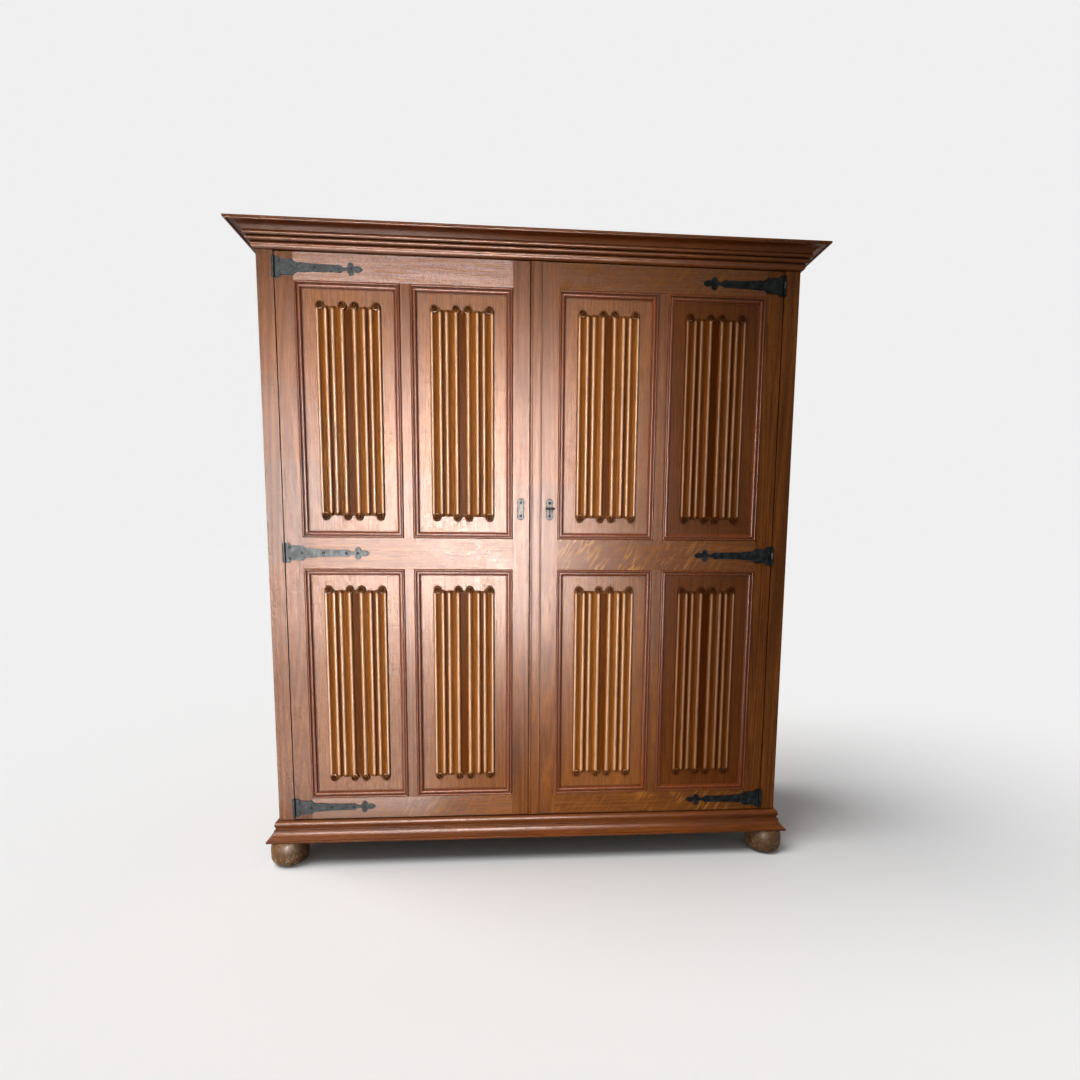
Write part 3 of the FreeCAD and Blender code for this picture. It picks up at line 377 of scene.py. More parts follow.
class Finish(Recipe):
    """The recipe of one of the cupboard's materials, laid out in Object coordinates."""

    def __init__(self, name):
        super().__init__(bpy.data.materials.new(name))
        self.place = self.add("ShaderNodeTexCoord").outputs["Object"]

    def axes(self):
        return self.add("ShaderNodeSeparateXYZ", {"Vector": self.place}).outputs

    def mapped(self, scale=(1, 1, 1), move=(0, 0, 0), turn=(0, 0, 0), source=None):
        source = source or self.place
        inputs = {"Vector": source, "Location": move, "Rotation": turn, "Scale": scale}
        return self.add("ShaderNodeMapping", inputs).outputs["Vector"]

    def noise(self, vector, scale, detail=2.0, rough=0.5, warp=0.0):
        inputs = {"Vector": vector, "Scale": scale, "Detail": detail, "Roughness": rough}
        inputs["Distortion"] = warp
        return self.add("ShaderNodeTexNoise", inputs).outputs["Fac"]

    def height(self, value, depth, strength, after=None):
        inputs = {"Height": value, "Distance": depth, "Strength": strength}
        if after is not None:
            inputs["Normal"] = after
        return self.add("ShaderNodeBump", inputs).outputs["Normal"]

    def crevice(self, reach, low=SHADE_AND_GRIME_EDGE[0], high=SHADE_AND_GRIME_EDGE[1]):
        """Goes to 1 in corners and grooves, where shade is painted and where old wax, dust and soot
        gather.
        """
        reaching = {"Distance": reach}
        hollow = self.add("ShaderNodeAmbientOcclusion", reaching, samples=CREVICE_SAMPLES)
        return self.fade(hollow.outputs["AO"], low, high, 1.0, 0.0)

    def figured(self, body, wood):
        """The colour between a wood's dark and its light one, as its figure has it."""
        return self.blend(body, wood[1], wood[0])


def rgb(red, green, blue):
    """A colour as a screen shows it, turned to the shader's linear values."""
    def linear(value):
        share = value / 255
        return share / 12.92 if share <= 0.04045 else ((share + 0.055) / 1.055) ** 2.4
    return linear(red), linear(green), linear(blue), 1.0


def grey(level):
    return level, level, level, 1.0


def stretched(axis, share):
    """Scales that draw a pattern out along one axis."""
    return tuple(share if each == axis else 1 for each in "xyz")


# Colours as they look in even light, save the painted highlight and painted shade noted below. A
# wood has its light and dark colour and that of its pores.

OAK_PORE = rgb(46, 20, 9)
FRAME_WOOD = (rgb(150, 85, 26), rgb(80, 39, 7), OAK_PORE)
PANEL_WOOD = (rgb(164, 97, 34), rgb(94, 48, 11), OAK_PORE)
MOULDING_WOOD = (rgb(148, 76, 28), rgb(82, 35, 8), rgb(38, 16, 9))
CORNICE_WOOD = (rgb(162, 90, 32), rgb(88, 40, 9), OAK_PORE)
PLINTH_WOOD = (rgb(138, 74, 26), rgb(72, 32, 7), OAK_PORE)
FOOT_WOOD = (rgb(134, 96, 60), rgb(80, 50, 25), OAK_PORE)
INSIDE_WOOD = (rgb(190, 150, 108), rgb(150, 108, 70), rgb(112, 76, 48))
# The crest colour is a painted highlight on the fold crests.
CREST_HIGHLIGHT = (rgb(208, 150, 94), rgb(154, 98, 52))
HOLLOW_WOOD = (rgb(168, 100, 36), rgb(104, 54, 14))
SCROLL_WOOD = (rgb(146, 88, 38), rgb(84, 42, 12))
SCUFFED_WOOD = (rgb(206, 182, 136), rgb(150, 118, 80))
# The groove colour is painted shade for the deepest parts of the folds.
GROOVE_SHADE = rgb(84, 38, 5)
FLECK = rgb(200, 138, 66)
WAX_AND_SHADE = rgb(34, 14, 6)
# Painted shade: the panels by the right hinge stile are darkened where the light falls off.
RIGHT_SHADE_SHARES = (0.6, 0.52, 0.45, 1)
BLACKENED = (rgb(13, 15, 15), rgb(46, 51, 51))
KEY_METAL = (rgb(34, 32, 30), rgb(66, 62, 58))
# Key plate iron: pale where rubbed, and its dark rim is painted shade.
RUBBED_AND_RIM_SHADE = (rgb(26, 24, 22), rgb(96, 90, 82))
RUST = rgb(70, 42, 26)
SOOT_AND_SHADE = rgb(8, 8, 8)
STEEL = (rgb(128, 124, 118), rgb(92, 86, 80))

# Oak close up. A noise has its waves in a metre, its detail, roughness and warp. An edge has the
# values of a noise that it runs between and, where they aren't 0 and 1, what they turn into.
# A relief has its depth and strength.

BAND_STRETCH = 0.035
BAND_NOISE = (8.0, 1.5, 0.45, 0.25)
BAND_WAVES = 130.0
RING_REACH = 0.2
PORE_STRETCH = 0.014
STREAK_NOISE = (520.0, 3.0, 0.55)
STREAK_REACH = 1.3
STREAK_EDGE = (0.3, 0.7)
STREAK_RELIEF = 0.7
PATCH_NOISE = (3.2, 3.0, 0.55)
PATCH_REACH = 0.8
WORN_RELIEF = (1.2 * MM, 0.6)
PORE_NOISE = (1100.0, 2.0, 0.6)
PORE_EDGE = (0.52, 0.64)
PORE_RELIEF = (0.1 * MM, 0.22)
PORE_PATCH_RINGS = 0.12
PORE_PATCH_EDGE = (0.35, 0.6, 0.25, 0.75)
FLECK_TURN = (0, math.radians(58), 0)
FLECK_STRETCH = 0.17
FLECK_NOISE = (100.0, 2.0, 0.5, 0.7)
FLECK_EDGE = (0.5, 0.62)
FLECK_GLOSS = 0.12
FLECK_PATCH_NOISE = (6.0, 2.0)
FLECK_PATCH_EDGE = (0.36, 0.6, 0.12, 1.0)
FLECKS_THIN_OUT = 0.2
FEW_FLECKS = 0.15
SPARKLE_NOISE = (260.0, 3.0, 0.65)
SPARKLE_EDGE = (0.34, 0.66, 0.4, 1.6)
SHADE_AND_GRIME_DULLNESS = 0.2
WAXED_ROUGHNESS = (0.24, 0.37)
WAX_SHINE = 0.1


def oak(name, grain, wood, figure=0.5, rays=0.0, rays_end=None, shift=(0, 0, 0),
        rough=WAXED_ROUGHNESS, shine=WAX_SHINE, crevice=10 * MM, tint=None):
    """Waxed oak: growth figure and pores along the grain, dark wax and painted shade in the
    corners.

    Ray flecks are for level boards along X. They thin out before rays_end, where it is given.
    """
    coat = Finish(name)
    along = coat.mapped(stretched(grain, BAND_STRETCH), shift)
    fine = coat.mapped(stretched(grain, PORE_STRETCH), shift)
    around = coat.mapped(move=shift)
    rings = coat.calc("SINE", coat.times(coat.noise(along, *BAND_NOISE), BAND_WAVES))
    streaks = coat.noise(fine, *STREAK_NOISE)
    patches = coat.noise(around, *PATCH_NOISE)
    body = coat.calc("MULTIPLY_ADD", rings, RING_REACH * figure, 0.5)
    body = coat.plus(body, coat.swing(streaks, STREAK_REACH))
    body = coat.plus(body, coat.swing(patches, PATCH_REACH), clamp=True)
    colour = coat.figured(body, wood)
    dullness = 0.0
    if tint is not None:
        colour, shine, dullness = tint(coat, colour, body)
    pores = coat.fade(coat.noise(fine, *PORE_NOISE), *PORE_EDGE)
    pore_patches = coat.plus(coat.times(rings, PORE_PATCH_RINGS), patches)
    pore_patches = coat.fade(pore_patches, *PORE_PATCH_EDGE)
    colour = coat.blend(coat.times(pores, pore_patches), colour, wood[2])
    rougher = coat.plus(coat.fade(streaks, *STREAK_EDGE, rough[1], rough[0]), dullness)
    if rays:
        turned = coat.mapped(move=shift, turn=FLECK_TURN)
        leaning = coat.mapped(stretched("x", FLECK_STRETCH), source=turned)
        ribbons = coat.noise(leaning, *FLECK_NOISE)
        where = coat.fade(coat.noise(around, *FLECK_PATCH_NOISE), *FLECK_PATCH_EDGE)
        if rays_end:
            thinning = (rays_end - FLECKS_THIN_OUT, rays_end, 1.0, FEW_FLECKS)
            where = coat.times(where, coat.fade(coat.axes()["X"], *thinning))
        flecks = coat.times(coat.fade(ribbons, *FLECK_EDGE), where)
        colour = coat.blend(coat.times(flecks, rays), colour, FLECK)
        rougher = coat.minus(rougher, coat.times(flecks, FLECK_GLOSS))
    # Corners and grooves take the dark wax colour: real wax, and painted shade.
    shade_and_grime = coat.crevice(crevice)
    colour = coat.blend(coat.times(shade_and_grime, SHADE_AND_GRIME_COVER), colour, WAX_AND_SHADE)
    sparkle = coat.fade(coat.noise(around, *SPARKLE_NOISE), *SPARKLE_EDGE)
    relief = coat.minus(coat.times(streaks, STREAK_RELIEF), pores)
    worn = coat.height(patches, *WORN_RELIEF)
    return coat.shade("Principled BSDF", {
        "Base Color": colour,
        "Roughness": coat.calc("MULTIPLY_ADD", shade_and_grime, SHADE_AND_GRIME_DULLNESS, rougher),
        "Specular IOR Level": coat.times(sparkle, shine),
        "Normal": coat.height(relief, *PORE_RELIEF, worn),
    })


def frame_oak(node, grain, shift, **looks):
    return oak(f"{node}_oak", grain, FRAME_WOOD, shift=shift, **looks)


# Carved panels, by height above the board's face

CREST_HEIGHTS = (4.4 * MM, 6.8 * MM)
RAISED_HEIGHTS = (0.2 * MM, 0.6 * MM)
GROOVE_SHADE_HEIGHTS = (1.4 * MM, 3.2 * MM)
GROOVE_SHADE_COVER = 0.8
CREST_SHINE = 0.25
CREST_DULLNESS = 0.2
HOLLOW_SHINE = 0.006
RIGHT_SHADE_DULLING = 0.6
CURLS_FROM = (10 * MM, 5 * MM)


def beyond_folds(coat, height):
    """Goes to 1 on the carving above and below the folds, where the curls are."""
    beyond = []
    for opening in (UPPER_OPENING, LOWER_OPENING):
        away = coat.calc("ABSOLUTE", coat.minus(height, middle(*opening)))
        reach = (opening[1] - opening[0]) / 2 - FOLD_END_MARGIN
        beyond.append(coat.fade(away, reach - CURLS_FROM[0], reach - CURLS_FROM[1]))
    return coat.times(*beyond)


def folds_tint(coat, colour, body):
    """Crests painted pale as a highlight, golden hollows, grooves painted dark as shade, and the
    boards by the right hinge stile painted darker as shade.
    """
    axes = coat.axes()

    def between(heights, above, below):
        return coat.fade(axes["Y"], PANEL_FACE - heights[1], PANEL_FACE - heights[0], above, below)

    crest = between(CREST_HEIGHTS, 1.0, 0.0)
    raised = between(RAISED_HEIGHTS, 1.0, 0.0)
    # The deepest parts of the folds darken: painted shade in the grooves.
    groove_shade = between(GROOVE_SHADE_HEIGHTS, 0.0, GROOVE_SHADE_COVER)
    hollow = coat.blend(groove_shade, coat.figured(body, HOLLOW_WOOD), GROOVE_SHADE)
    # The crests take a paler colour: a painted highlight.
    folded = coat.blend(crest, hollow, coat.figured(body, CREST_HIGHLIGHT))
    scroll = coat.times(raised, beyond_folds(coat, axes["Z"]))
    folded = coat.blend(scroll, folded, coat.figured(body, SCROLL_WOOD))
    bright = coat.minus(crest, scroll, clamp=True)
    carved_shine = coat.calc("MULTIPLY_ADD", bright, CREST_SHINE, HOLLOW_SHINE)
    shine = coat.plus(coat.times(coat.minus(carved_shine, WAX_SHINE), raised), WAX_SHINE)
    colour = coat.blend(raised, colour, folded)
    # Painted shade: the panels beyond the right door's muntin are darker and duller, as the light
    # falls off there.
    shaded_right = coat.calc("GREATER_THAN", axes["X"], MUNTIN_MIDDLE)
    colour = coat.blend(shaded_right, colour, coat.blend(1.0, colour, RIGHT_SHADE_SHARES, "MULTIPLY"))
    shine = coat.times(shine, coat.calc("MULTIPLY_ADD", shaded_right, -RIGHT_SHADE_DULLING, 1.0))
    return colour, shine, coat.times(coat.times(bright, raised), CREST_DULLNESS)


# Turned feet, scuffed most near the floor

SCUFF_NOISE = (95.0, 4.0, 0.7)
SCUFF_EDGE = (0.5, 0.64)
SCUFF_HEIGHTS = (20 * MM, 56 * MM, 0.85, 0.25)
FOOT_ROUGHNESS = (0.36, 0.55)
FOOT_SHINE = 0.12


def foot_tint(coat, colour, body):
    """Feet are scuffed down to pale wood low down, in spots."""
    height = coat.axes()["Z"]
    knocks = coat.fade(coat.noise(coat.place, *SCUFF_NOISE), *SCUFF_EDGE)
    scuffs = coat.times(knocks, coat.fade(height, *SCUFF_HEIGHTS))
    return coat.blend(scuffs, colour, coat.figured(body, SCUFFED_WOOD)), FOOT_SHINE, 0.0


# Iron and steel close up, in the same way as oak

BLOTCH_NOISE = (55.0, 4.0, 0.65)
GRIT_NOISE = (900.0, 3.0, 0.65)
HAMMER_WAVES = 120.0
HANDLED_EDGE = (0.38, 0.68)
RUBBED_EDGE = (0.2, 0.5, 0.6, 1.0)
RUST_EDGE = (0.58, 0.7)
RUST_PATCH_EDGE = (0.4, 0.6, 0.6, 0.1)
SOOT_AND_SHADE_REACH = 4 * MM
SOOT_AND_SHADE_EDGE = (0.4, 0.95)
IRON_SHINE = 0.08
IRON_ROUGHNESS = 0.48
HANDLED_GLOSS = 0.14
HAMMER_RELIEF = (0.9 * MM, 0.6)
GRIT_RELIEF = (0.15 * MM, 0.5)
KEY_PLATE_ACROSS = 44 * MM
KEY_PLATE_HEIGHT = 1117 * MM
KEY_PLATE_SHADED_RIM = (5.5 * MM, 9.5 * MM, 1.0, 0.0)
KEY_PLATE_ENDS = (24 * MM, 32 * MM, 1.0, 0.0)
BRUSH_STRETCH = 0.05
BRUSH_NOISE = (700.0, 2.0, 0.5)
BRUSH_RELIEF = (0.05 * MM, 0.5)
SPOT_NOISE = (90.0, 3.0, 0.6)
SPOT_EDGE = (0.35, 0.7)
STEEL_ROUGHNESS = (0.3, 0.7, 0.34, 0.5)
STEEL_METAL = 0.9


def forged_iron(name, metal, wear_and_rim_shade=None):
    """Blackened iron with hammer marks, a little rust and wax rubbed thin.

    The metal has its colours where it is dark and where it is handled; on a key plate the dark one
    is also painted shade at the rim.
    """
    coat = Finish(name)
    blotches = coat.noise(coat.place, *BLOTCH_NOISE)
    cells = {"Vector": coat.place, "Scale": HAMMER_WAVES}
    hammer = coat.add("ShaderNodeTexVoronoi", cells, feature="SMOOTH_F1")
    grit = coat.noise(coat.place, *GRIT_NOISE)
    handled_and_rim_shade = coat.fade(blotches, *HANDLED_EDGE)
    if wear_and_rim_shade is not None:
        handled_and_rim_shade = coat.times(wear_and_rim_shade(coat), coat.fade(blotches, *RUBBED_EDGE))
    colour = coat.blend(handled_and_rim_shade, *metal)
    rust = coat.times(coat.fade(grit, *RUST_EDGE), coat.fade(blotches, *RUST_PATCH_EDGE))
    colour = coat.blend(rust, colour, RUST)
    # Hollows of the iron darken to near black: soot, and painted shade.
    soot_and_shade = coat.times(coat.crevice(SOOT_AND_SHADE_REACH, *SOOT_AND_SHADE_EDGE), SHADE_AND_GRIME_COVER)
    colour = coat.blend(soot_and_shade, colour, SOOT_AND_SHADE)
    dents = coat.height(hammer.outputs["Distance"], *HAMMER_RELIEF)
    return coat.shade("Principled BSDF", {
        "Base Color": colour,
        "Specular IOR Level": IRON_SHINE,
        "Roughness": coat.calc("MULTIPLY_ADD", handled_and_rim_shade, -HANDLED_GLOSS, IRON_ROUGHNESS),
        "Normal": coat.height(grit, *GRIT_RELIEF, dents),
    })


def key_plate_wear_and_rim_shade(coat):
    """Fingers rub a key plate bright round its keyhole; its rim is painted dark as shade."""
    axes = coat.axes()
    across = coat.minus(coat.calc("ABSOLUTE", axes["X"]), KEY_PLATE_ACROSS)
    along = coat.minus(axes["Z"], KEY_PLATE_HEIGHT)
    inner = coat.fade(coat.calc("ABSOLUTE", across), *KEY_PLATE_SHADED_RIM)
    return coat.times(inner, coat.fade(coat.calc("ABSOLUTE", along), *KEY_PLATE_ENDS))


def dull_steel(name):
    coat = Finish(name)
    brush = coat.noise(coat.mapped(stretched("z", BRUSH_STRETCH)), *BRUSH_NOISE)
    spots = coat.noise(coat.place, *SPOT_NOISE)
    return coat.shade("Principled BSDF", {
        "Base Color": coat.blend(coat.fade(spots, *SPOT_EDGE), *STEEL),
        "Metallic": STEEL_METAL,
        "Roughness": coat.fade(spots, *STEEL_ROUGHNESS),
        "Normal": coat.height(brush, *BRUSH_RELIEF),
    })


# Finishes

black_iron = forged_iron("blackened_iron", BLACKENED)
key_iron = forged_iron("key_iron", KEY_METAL)
plate_iron = forged_iron("rubbed_iron", RUBBED_AND_RIM_SHADE, key_plate_wear_and_rim_shade)
lock_steel = dull_steel("dull_steel")
inside_oak = {
    grain: oak(f"inside_oak_{grain}", grain, INSIDE_WOOD, figure=0.6, crevice=20 * MM)
    for grain in "xyz"
}
cornice_oak = {
    grain: oak(f"cornice_oak_{grain}", grain, CORNICE_WOOD, crevice=6 * MM) for grain in "xy"
}
plinth_oak = {
    grain: oak(f"plinth_oak_{grain}", grain, PLINTH_WOOD, crevice=9 * MM) for grain in "xy"
}
moulding_oak = oak("moulding_oak_z", "z", MOULDING_WOOD, figure=0.4, shine=0.08, crevice=6 * MM)
panel_oak = oak("linenfold_oak", "z", PANEL_WOOD, tint=folds_tint, crevice=7 * MM)
foot_oak = oak("foot_oak", "z", FOOT_WOOD, figure=0.6, rough=FOOT_ROUGHNESS, tint=foot_tint)


# Panel boards carved with linenfold

FOLD_HALF_WIDTH = 94.5 * MM
FOLD_RELIEF = 8 * MM
FOLD_SINK = 1 * MM
FOLD_DRAFT = 1.5 * MM
FOLD_SHARES = [
    (0.1, 0.2),
    (0.145, 0.8),
    (0.185, 1.0, 0.225, 0.8),
    (0.33, 0.3, 0.435, 0.78),
    (0.475, 0.97, 0.515, 0.78),
    (0.55, 0.14),
    (0.6, 0.14),
    (0.64, 0.76),
    (0.68, 0.95, 0.72, 0.76),
    (0.81, 0.28, 0.9, 0.7),
    (0.94, 0.88, 0.975, 0.66),
    (1.0, 0.0),
]
CURL_RADIUS = 14.5 * MM
CURL_HEIGHT = 7.6 * MM
CURL_BAND = 4.6 * MM
CURL_EDGE = 1.1 * MM
CURL_BEYOND = 4 * MM
CURL_SHARES = (0.185, 0.85)
CURL_STEPS = 27
CURL_STEP = math.radians(20)
CURL_SHRINK = 0.969
CURL_FLOOR_RADIUS = 0.86 * CURL_RADIUS
CURL_FLOOR_THICKNESS = 0.5 * CURL_HEIGHT
CURL_FLOOR_LIFT = 0.1 * CURL_HEIGHT
CURL_EYE_RADIUS = 0.24 * CURL_RADIUS
CURL_EYE_LIFT = 0.64 * CURL_HEIGHT


def fold_section():
    start = (0.0, FOLD_SHARES[0][1])
    right = section(start, FOLD_SHARES, FOLD_HALF_WIDTH, FOLD_RELIEF)[1:]
    right.append((right[-1][0], -FOLD_SINK))
    left = [(-x, rise) for x, rise in reversed(right)]
    return left + right


def folds(name, low, high):
    """The upright folds as one closed carving that stands on the panel's face."""
    piece = drawn_line(name, [(x, PANEL_FACE - rise, low) for x, rise in fold_section()])
    extrude((0, 0, high - low))
    close_mesh()
    settle(piece)
    base = PANEL_FACE + FOLD_SINK
    for level, draft in ((low, -FOLD_DRAFT), (high, FOLD_DRAFT)):
        open_mesh(piece)
        pick(piece, lambda place: abs(place.z - level) < SAME_PLACE)
        extrude((0, 0, draft))
        bpy.ops.transform.resize(value=(1, 0, 1), center_override=(0, base, level))
        close_mesh()
    open_mesh(piece)
    pick(piece, lambda place: abs(place.y - base) < SAME_PLACE)
    bpy.ops.mesh.edge_face_add()
    take_all()
    bpy.ops.mesh.remove_doubles(threshold=SAME_PLACE)
    face_outwards()
    return smoothed(piece, CARVED_CREASE_DEGREES)


def curl(name):
    """A small scroll where the linen's edge rolls up, carved round its middle at the origin."""
    centre = (0, 0, 0)
    shrink = (CURL_SHRINK, 1, CURL_SHRINK)
    piece = drawn_line(name, [(CURL_RADIUS, 0, 0), (CURL_RADIUS - CURL_BAND, 0, 0)])
    for _ in range(CURL_STEPS):
        extrude((0, 0, 0))
        bpy.ops.transform.rotate(value=CURL_STEP, orient_axis="Y", center_override=centre)
        bpy.ops.transform.resize(value=shrink, center_override=centre)
    take_all()
    extrude((0, -CURL_HEIGHT, 0))
    face_outwards()
    bevelled(settle(piece), CURL_EDGE, CARVED_BEVEL_DEGREES)
    deselect()
    bpy.ops.mesh.primitive_cylinder_add(
        vertices=32, radius=CURL_FLOOR_RADIUS, depth=CURL_FLOOR_THICKNESS,
        location=(0, -CURL_FLOOR_LIFT, 0), rotation=(FULL_TURN / 4, 0, 0))
    floor = settle(bpy.context.active_object)
    deselect()
    bpy.ops.mesh.primitive_uv_sphere_add(
        segments=20, ring_count=10, radius=CURL_EYE_RADIUS, location=(0, -CURL_EYE_LIFT, 0))
    eye = settle(bpy.context.active_object)
    return smoothed(joined(name, [piece, floor, eye]), CARVED_CREASE_DEGREES)


def linen_panel(name, opening, scroll):
    """A board in the frame's grooves, its face carved with folds that end in curls."""
    low, high = opening[0] - TONGUE, opening[1] + TONGUE
    deselect()
    board_middle = (0, middle(PANEL_FACE, PANEL_BACK), middle(low, high))
    bpy.ops.mesh.primitive_cube_add(size=1, location=board_middle)
    board = bpy.context.active_object
    board.scale = (OPENING_WIDTH + 2 * TONGUE, PANEL_BACK - PANEL_FACE, high - low)
    settle(board)
    fold_low, fold_high = opening[0] + FOLD_END_MARGIN, opening[1] - FOLD_END_MARGIN
    parts = [board, folds(f"{name}_folds", fold_low, fold_high)]
    ends = ((fold_low - CURL_BEYOND, UNTURNED), (fold_high + CURL_BEYOND, UPSIDE_DOWN))
    for share in CURL_SHARES:
        for side, flip in ((-1, UNTURNED), (1, MIRRORED)):
            for level, end in ends:
                place = (side * share * FOLD_HALF_WIDTH, PANEL_FACE, level)
                parts.append(copied(scroll, f"{name}_curl", place, end @ flip))
    panel = joined(name, parts)
    open_mesh(panel)
    face_outwards()
    return panel


def linen_panels():
    scroll = curl("linen_curl")
    for level, opening in (("upper", UPPER_OPENING), ("lower", LOWER_OPENING)):
        pattern = linen_panel(f"linen_{level}", opening, scroll)
        for side, sign in SIDES:
            pair = [copied(pattern, "panel", (sign * middle(*column), 0, 0))
                    for column in OPENING_COLUMNS]
            piece = joined(f"linen_{level}_{side}", pair)
            dress(piece, panel_oak, f"door_{side}", f"linenfold_{level}_{side}")
        discard(pattern)
    discard(scroll)


# Mitred mouldings round the panels

MOULDING_WIDTH = 21.5 * MM
MOULDING_HEIGHT = 10.2 * MM
MOULDING_SHARES = [
    (1.0, 0.16),
    (0.9, 0.16),
    (0.74, 0.66, 0.42, 0.74),
    (0.38, 0.62),
    (0.33, 0.62),
    (0.165, 1.16, 0.0, 0.8),
    (0.0, 0.0),
]


def moulding_strip(name, length):
    """One strip lying along X with its outer edge on the line z = 0, mitred at both ends."""
    outline = section((1.0, 0.0), MOULDING_SHARES, MOULDING_WIDTH, MOULDING_HEIGHT)
    points = [(-length / 2, PANEL_FACE - rise, width) for width, rise in outline]
    strip = swept_bar(name, points, (length, 0, 0))
    saw(strip, (-length / 2, 0, 0), (1, 0, -1))
    saw(strip, (length / 2, 0, 0), (-1, 0, -1))
    return smoothed(strip)


def panel_mouldings():
    rail_strip = moulding_strip("rail_strip", OPENING_WIDTH)
    for side, sign in SIDES:
        parts = []
        for opening in (UPPER_OPENING, LOWER_OPENING):
            height = opening[1] - opening[0]
            stile_strip = moulding_strip("stile_strip", height)
            level_and_upright = ((rail_strip, height / 2), (stile_strip, OPENING_WIDTH / 2))
            for column in OPENING_COLUMNS:
                opening_middle = Vector((sign * middle(*column), 0, middle(*opening)))
                for quarter in range(4):
                    strip, reach = level_and_upright[quarter % 2]
                    turn = Matrix.Rotation(-quarter * FULL_TURN / 4, 4, "Y")
                    offset = turn @ Vector((0, 0, -reach))
                    parts.append(copied(strip, "strip", opening_middle + offset, turn))
            discard(stile_strip)
        piece = joined(f"mouldings_{side}", parts)
        dress(piece, moulding_oak, f"door_{side}", f"panel_mouldings_{side}")
    discard(rail_strip)


# Cornice and plinth

CORNICE_SHARES = [
    (0.055, 0.0),
    (0.142, 0.069, 0.158, 0.172),
    (0.157, 0.262, 0.121, 0.306),
    (0.21, 0.306),
    (0.32, 0.405, 0.218, 0.502),
    (0.275, 0.518),
    (0.413, 0.602, 0.331, 0.692),
    (0.38, 0.702),
    (0.54, 0.86, 0.855, 0.903),
    (0.855, 0.915),
    (0.903, 0.862, 0.952, 0.915),
    (1.0, 0.915),
    (1.0, 1.0),
    (0.0, 1.0),
]
PLINTH_SHARES = [
    (1.0, 0.0),
    (1.0, 0.1),
    (0.91, 0.108),
    (0.6, 0.24, 0.42, 0.45),
    (0.42, 0.54),
    (0.27, 0.556),
    (0.27, 0.645),
    (0.37, 0.83, 0.2, 1.0),
    (0.0, 1.0),
]
SURROUND_ARC_STEPS = 9
SURROUND_EDGE = 0.5 * MM


def surround(label, shares, finish):
    """Front and side runs of a moulding round the carcass, with mitred corners."""
    low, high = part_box(f"{label}_front")
    overhang, rise = DOOR_FACE - low.y, high.z - low.z
    outline = section((0.0, 0.0), shares, overhang, rise, SURROUND_ARC_STEPS)
    corner = Vector((-CARCASS_HALF, DOOR_FACE, low.z))
    start_x, start_y = corner.x - overhang, corner.y - overhang
    front_points = [(start_x, corner.y - out, low.z + up) for out, up in outline]
    front_run = swept_bar(f"{label}_front_run", front_points, (-2 * start_x, 0, 0))
    saw(front_run, corner, (1, -1, 0))
    saw(front_run, (-corner.x, corner.y, corner.z), (-1, -1, 0))
    side_points = [(corner.x - out, start_y, low.z + up) for out, up in outline]
    left_run = swept_bar(f"{label}_left_run", side_points, (0, CARCASS_BACK - start_y, 0))
    saw(left_run, corner, (-1, 1, 0))
    right_run = copied(left_run, f"{label}_right_run", turn=MIRRORED)
    runs = ((front_run, "front", "x"), (left_run, "left", "y"), (right_run, "right", "y"))
    for run, side, grain in runs:
        open_mesh(run)
        face_outwards()
        bevelled(run, SURROUND_EDGE, CARVED_BEVEL_DEGREES)
        flat_faced(smoothed(run, CARVED_CREASE_DEGREES))
        dress(run, finish[grain], "carcass", f"{label}_{side}")


# Turned feet with the dowels that hold them

FOOT_SHARES = [
    (0.5, 0.0),
    (0.55, 0.012),
    (0.88, 0.12, 0.985, 0.4),
    (1.0, 0.56, 0.985, 0.72),
    (0.95, 0.88),
    (0.9, 0.955),
    (0.86, 1.0),
]
FOOT_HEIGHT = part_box("plinth_front")[0].z
FOOT_RADIUS = 57.5 * MM
FOOT_ARC_STEPS = 8
FOOT_LATHE_STEPS = 56
FOOT_TURN = 2.1
DOWEL_RADIUS = 8 * MM


def turned_foot():
    """A foot turned on the lathe with its dowel, standing on the floor round its own middle."""
    dowel_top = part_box("bun_feet")[1].z
    outline = section((0.0, 0.0), FOOT_SHARES, FOOT_RADIUS, FOOT_HEIGHT, FOOT_ARC_STEPS)
    outline += [(DOWEL_RADIUS, FOOT_HEIGHT), (DOWEL_RADIUS, dowel_top), (0.0, dowel_top)]
    piece = drawn_line("turned_foot", [(x, 0, z) for x, z in outline])
    bpy.ops.mesh.spin(steps=FOOT_LATHE_STEPS, angle=FULL_TURN, center=(0, 0, 0), axis=(0, 0, 1))
    take_all()
    bpy.ops.mesh.remove_doubles(threshold=SAME_PLACE)
    face_outwards()
    return smoothed(settle(piece), CARVED_CREASE_DEGREES)


def feet():
    """Four feet, each turned so that no two show the same side."""
    low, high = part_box("bun_feet")
    pattern = turned_foot()
    parts = []
    for x in (low.x + FOOT_RADIUS, high.x - FOOT_RADIUS):
        for y in (low.y + FOOT_RADIUS, high.y - FOOT_RADIUS):
            turn = Matrix.Rotation(FOOT_TURN * len(parts), 4, "Z")
            parts.append(copied(pattern, "foot", (x, y, 0), turn))
    discard(pattern)
    dress(joined("turned_feet", parts), foot_oak, "carcass", "bun_feet")


# Joinery with eased edges. The shifts give each board its own stretch of the figure.

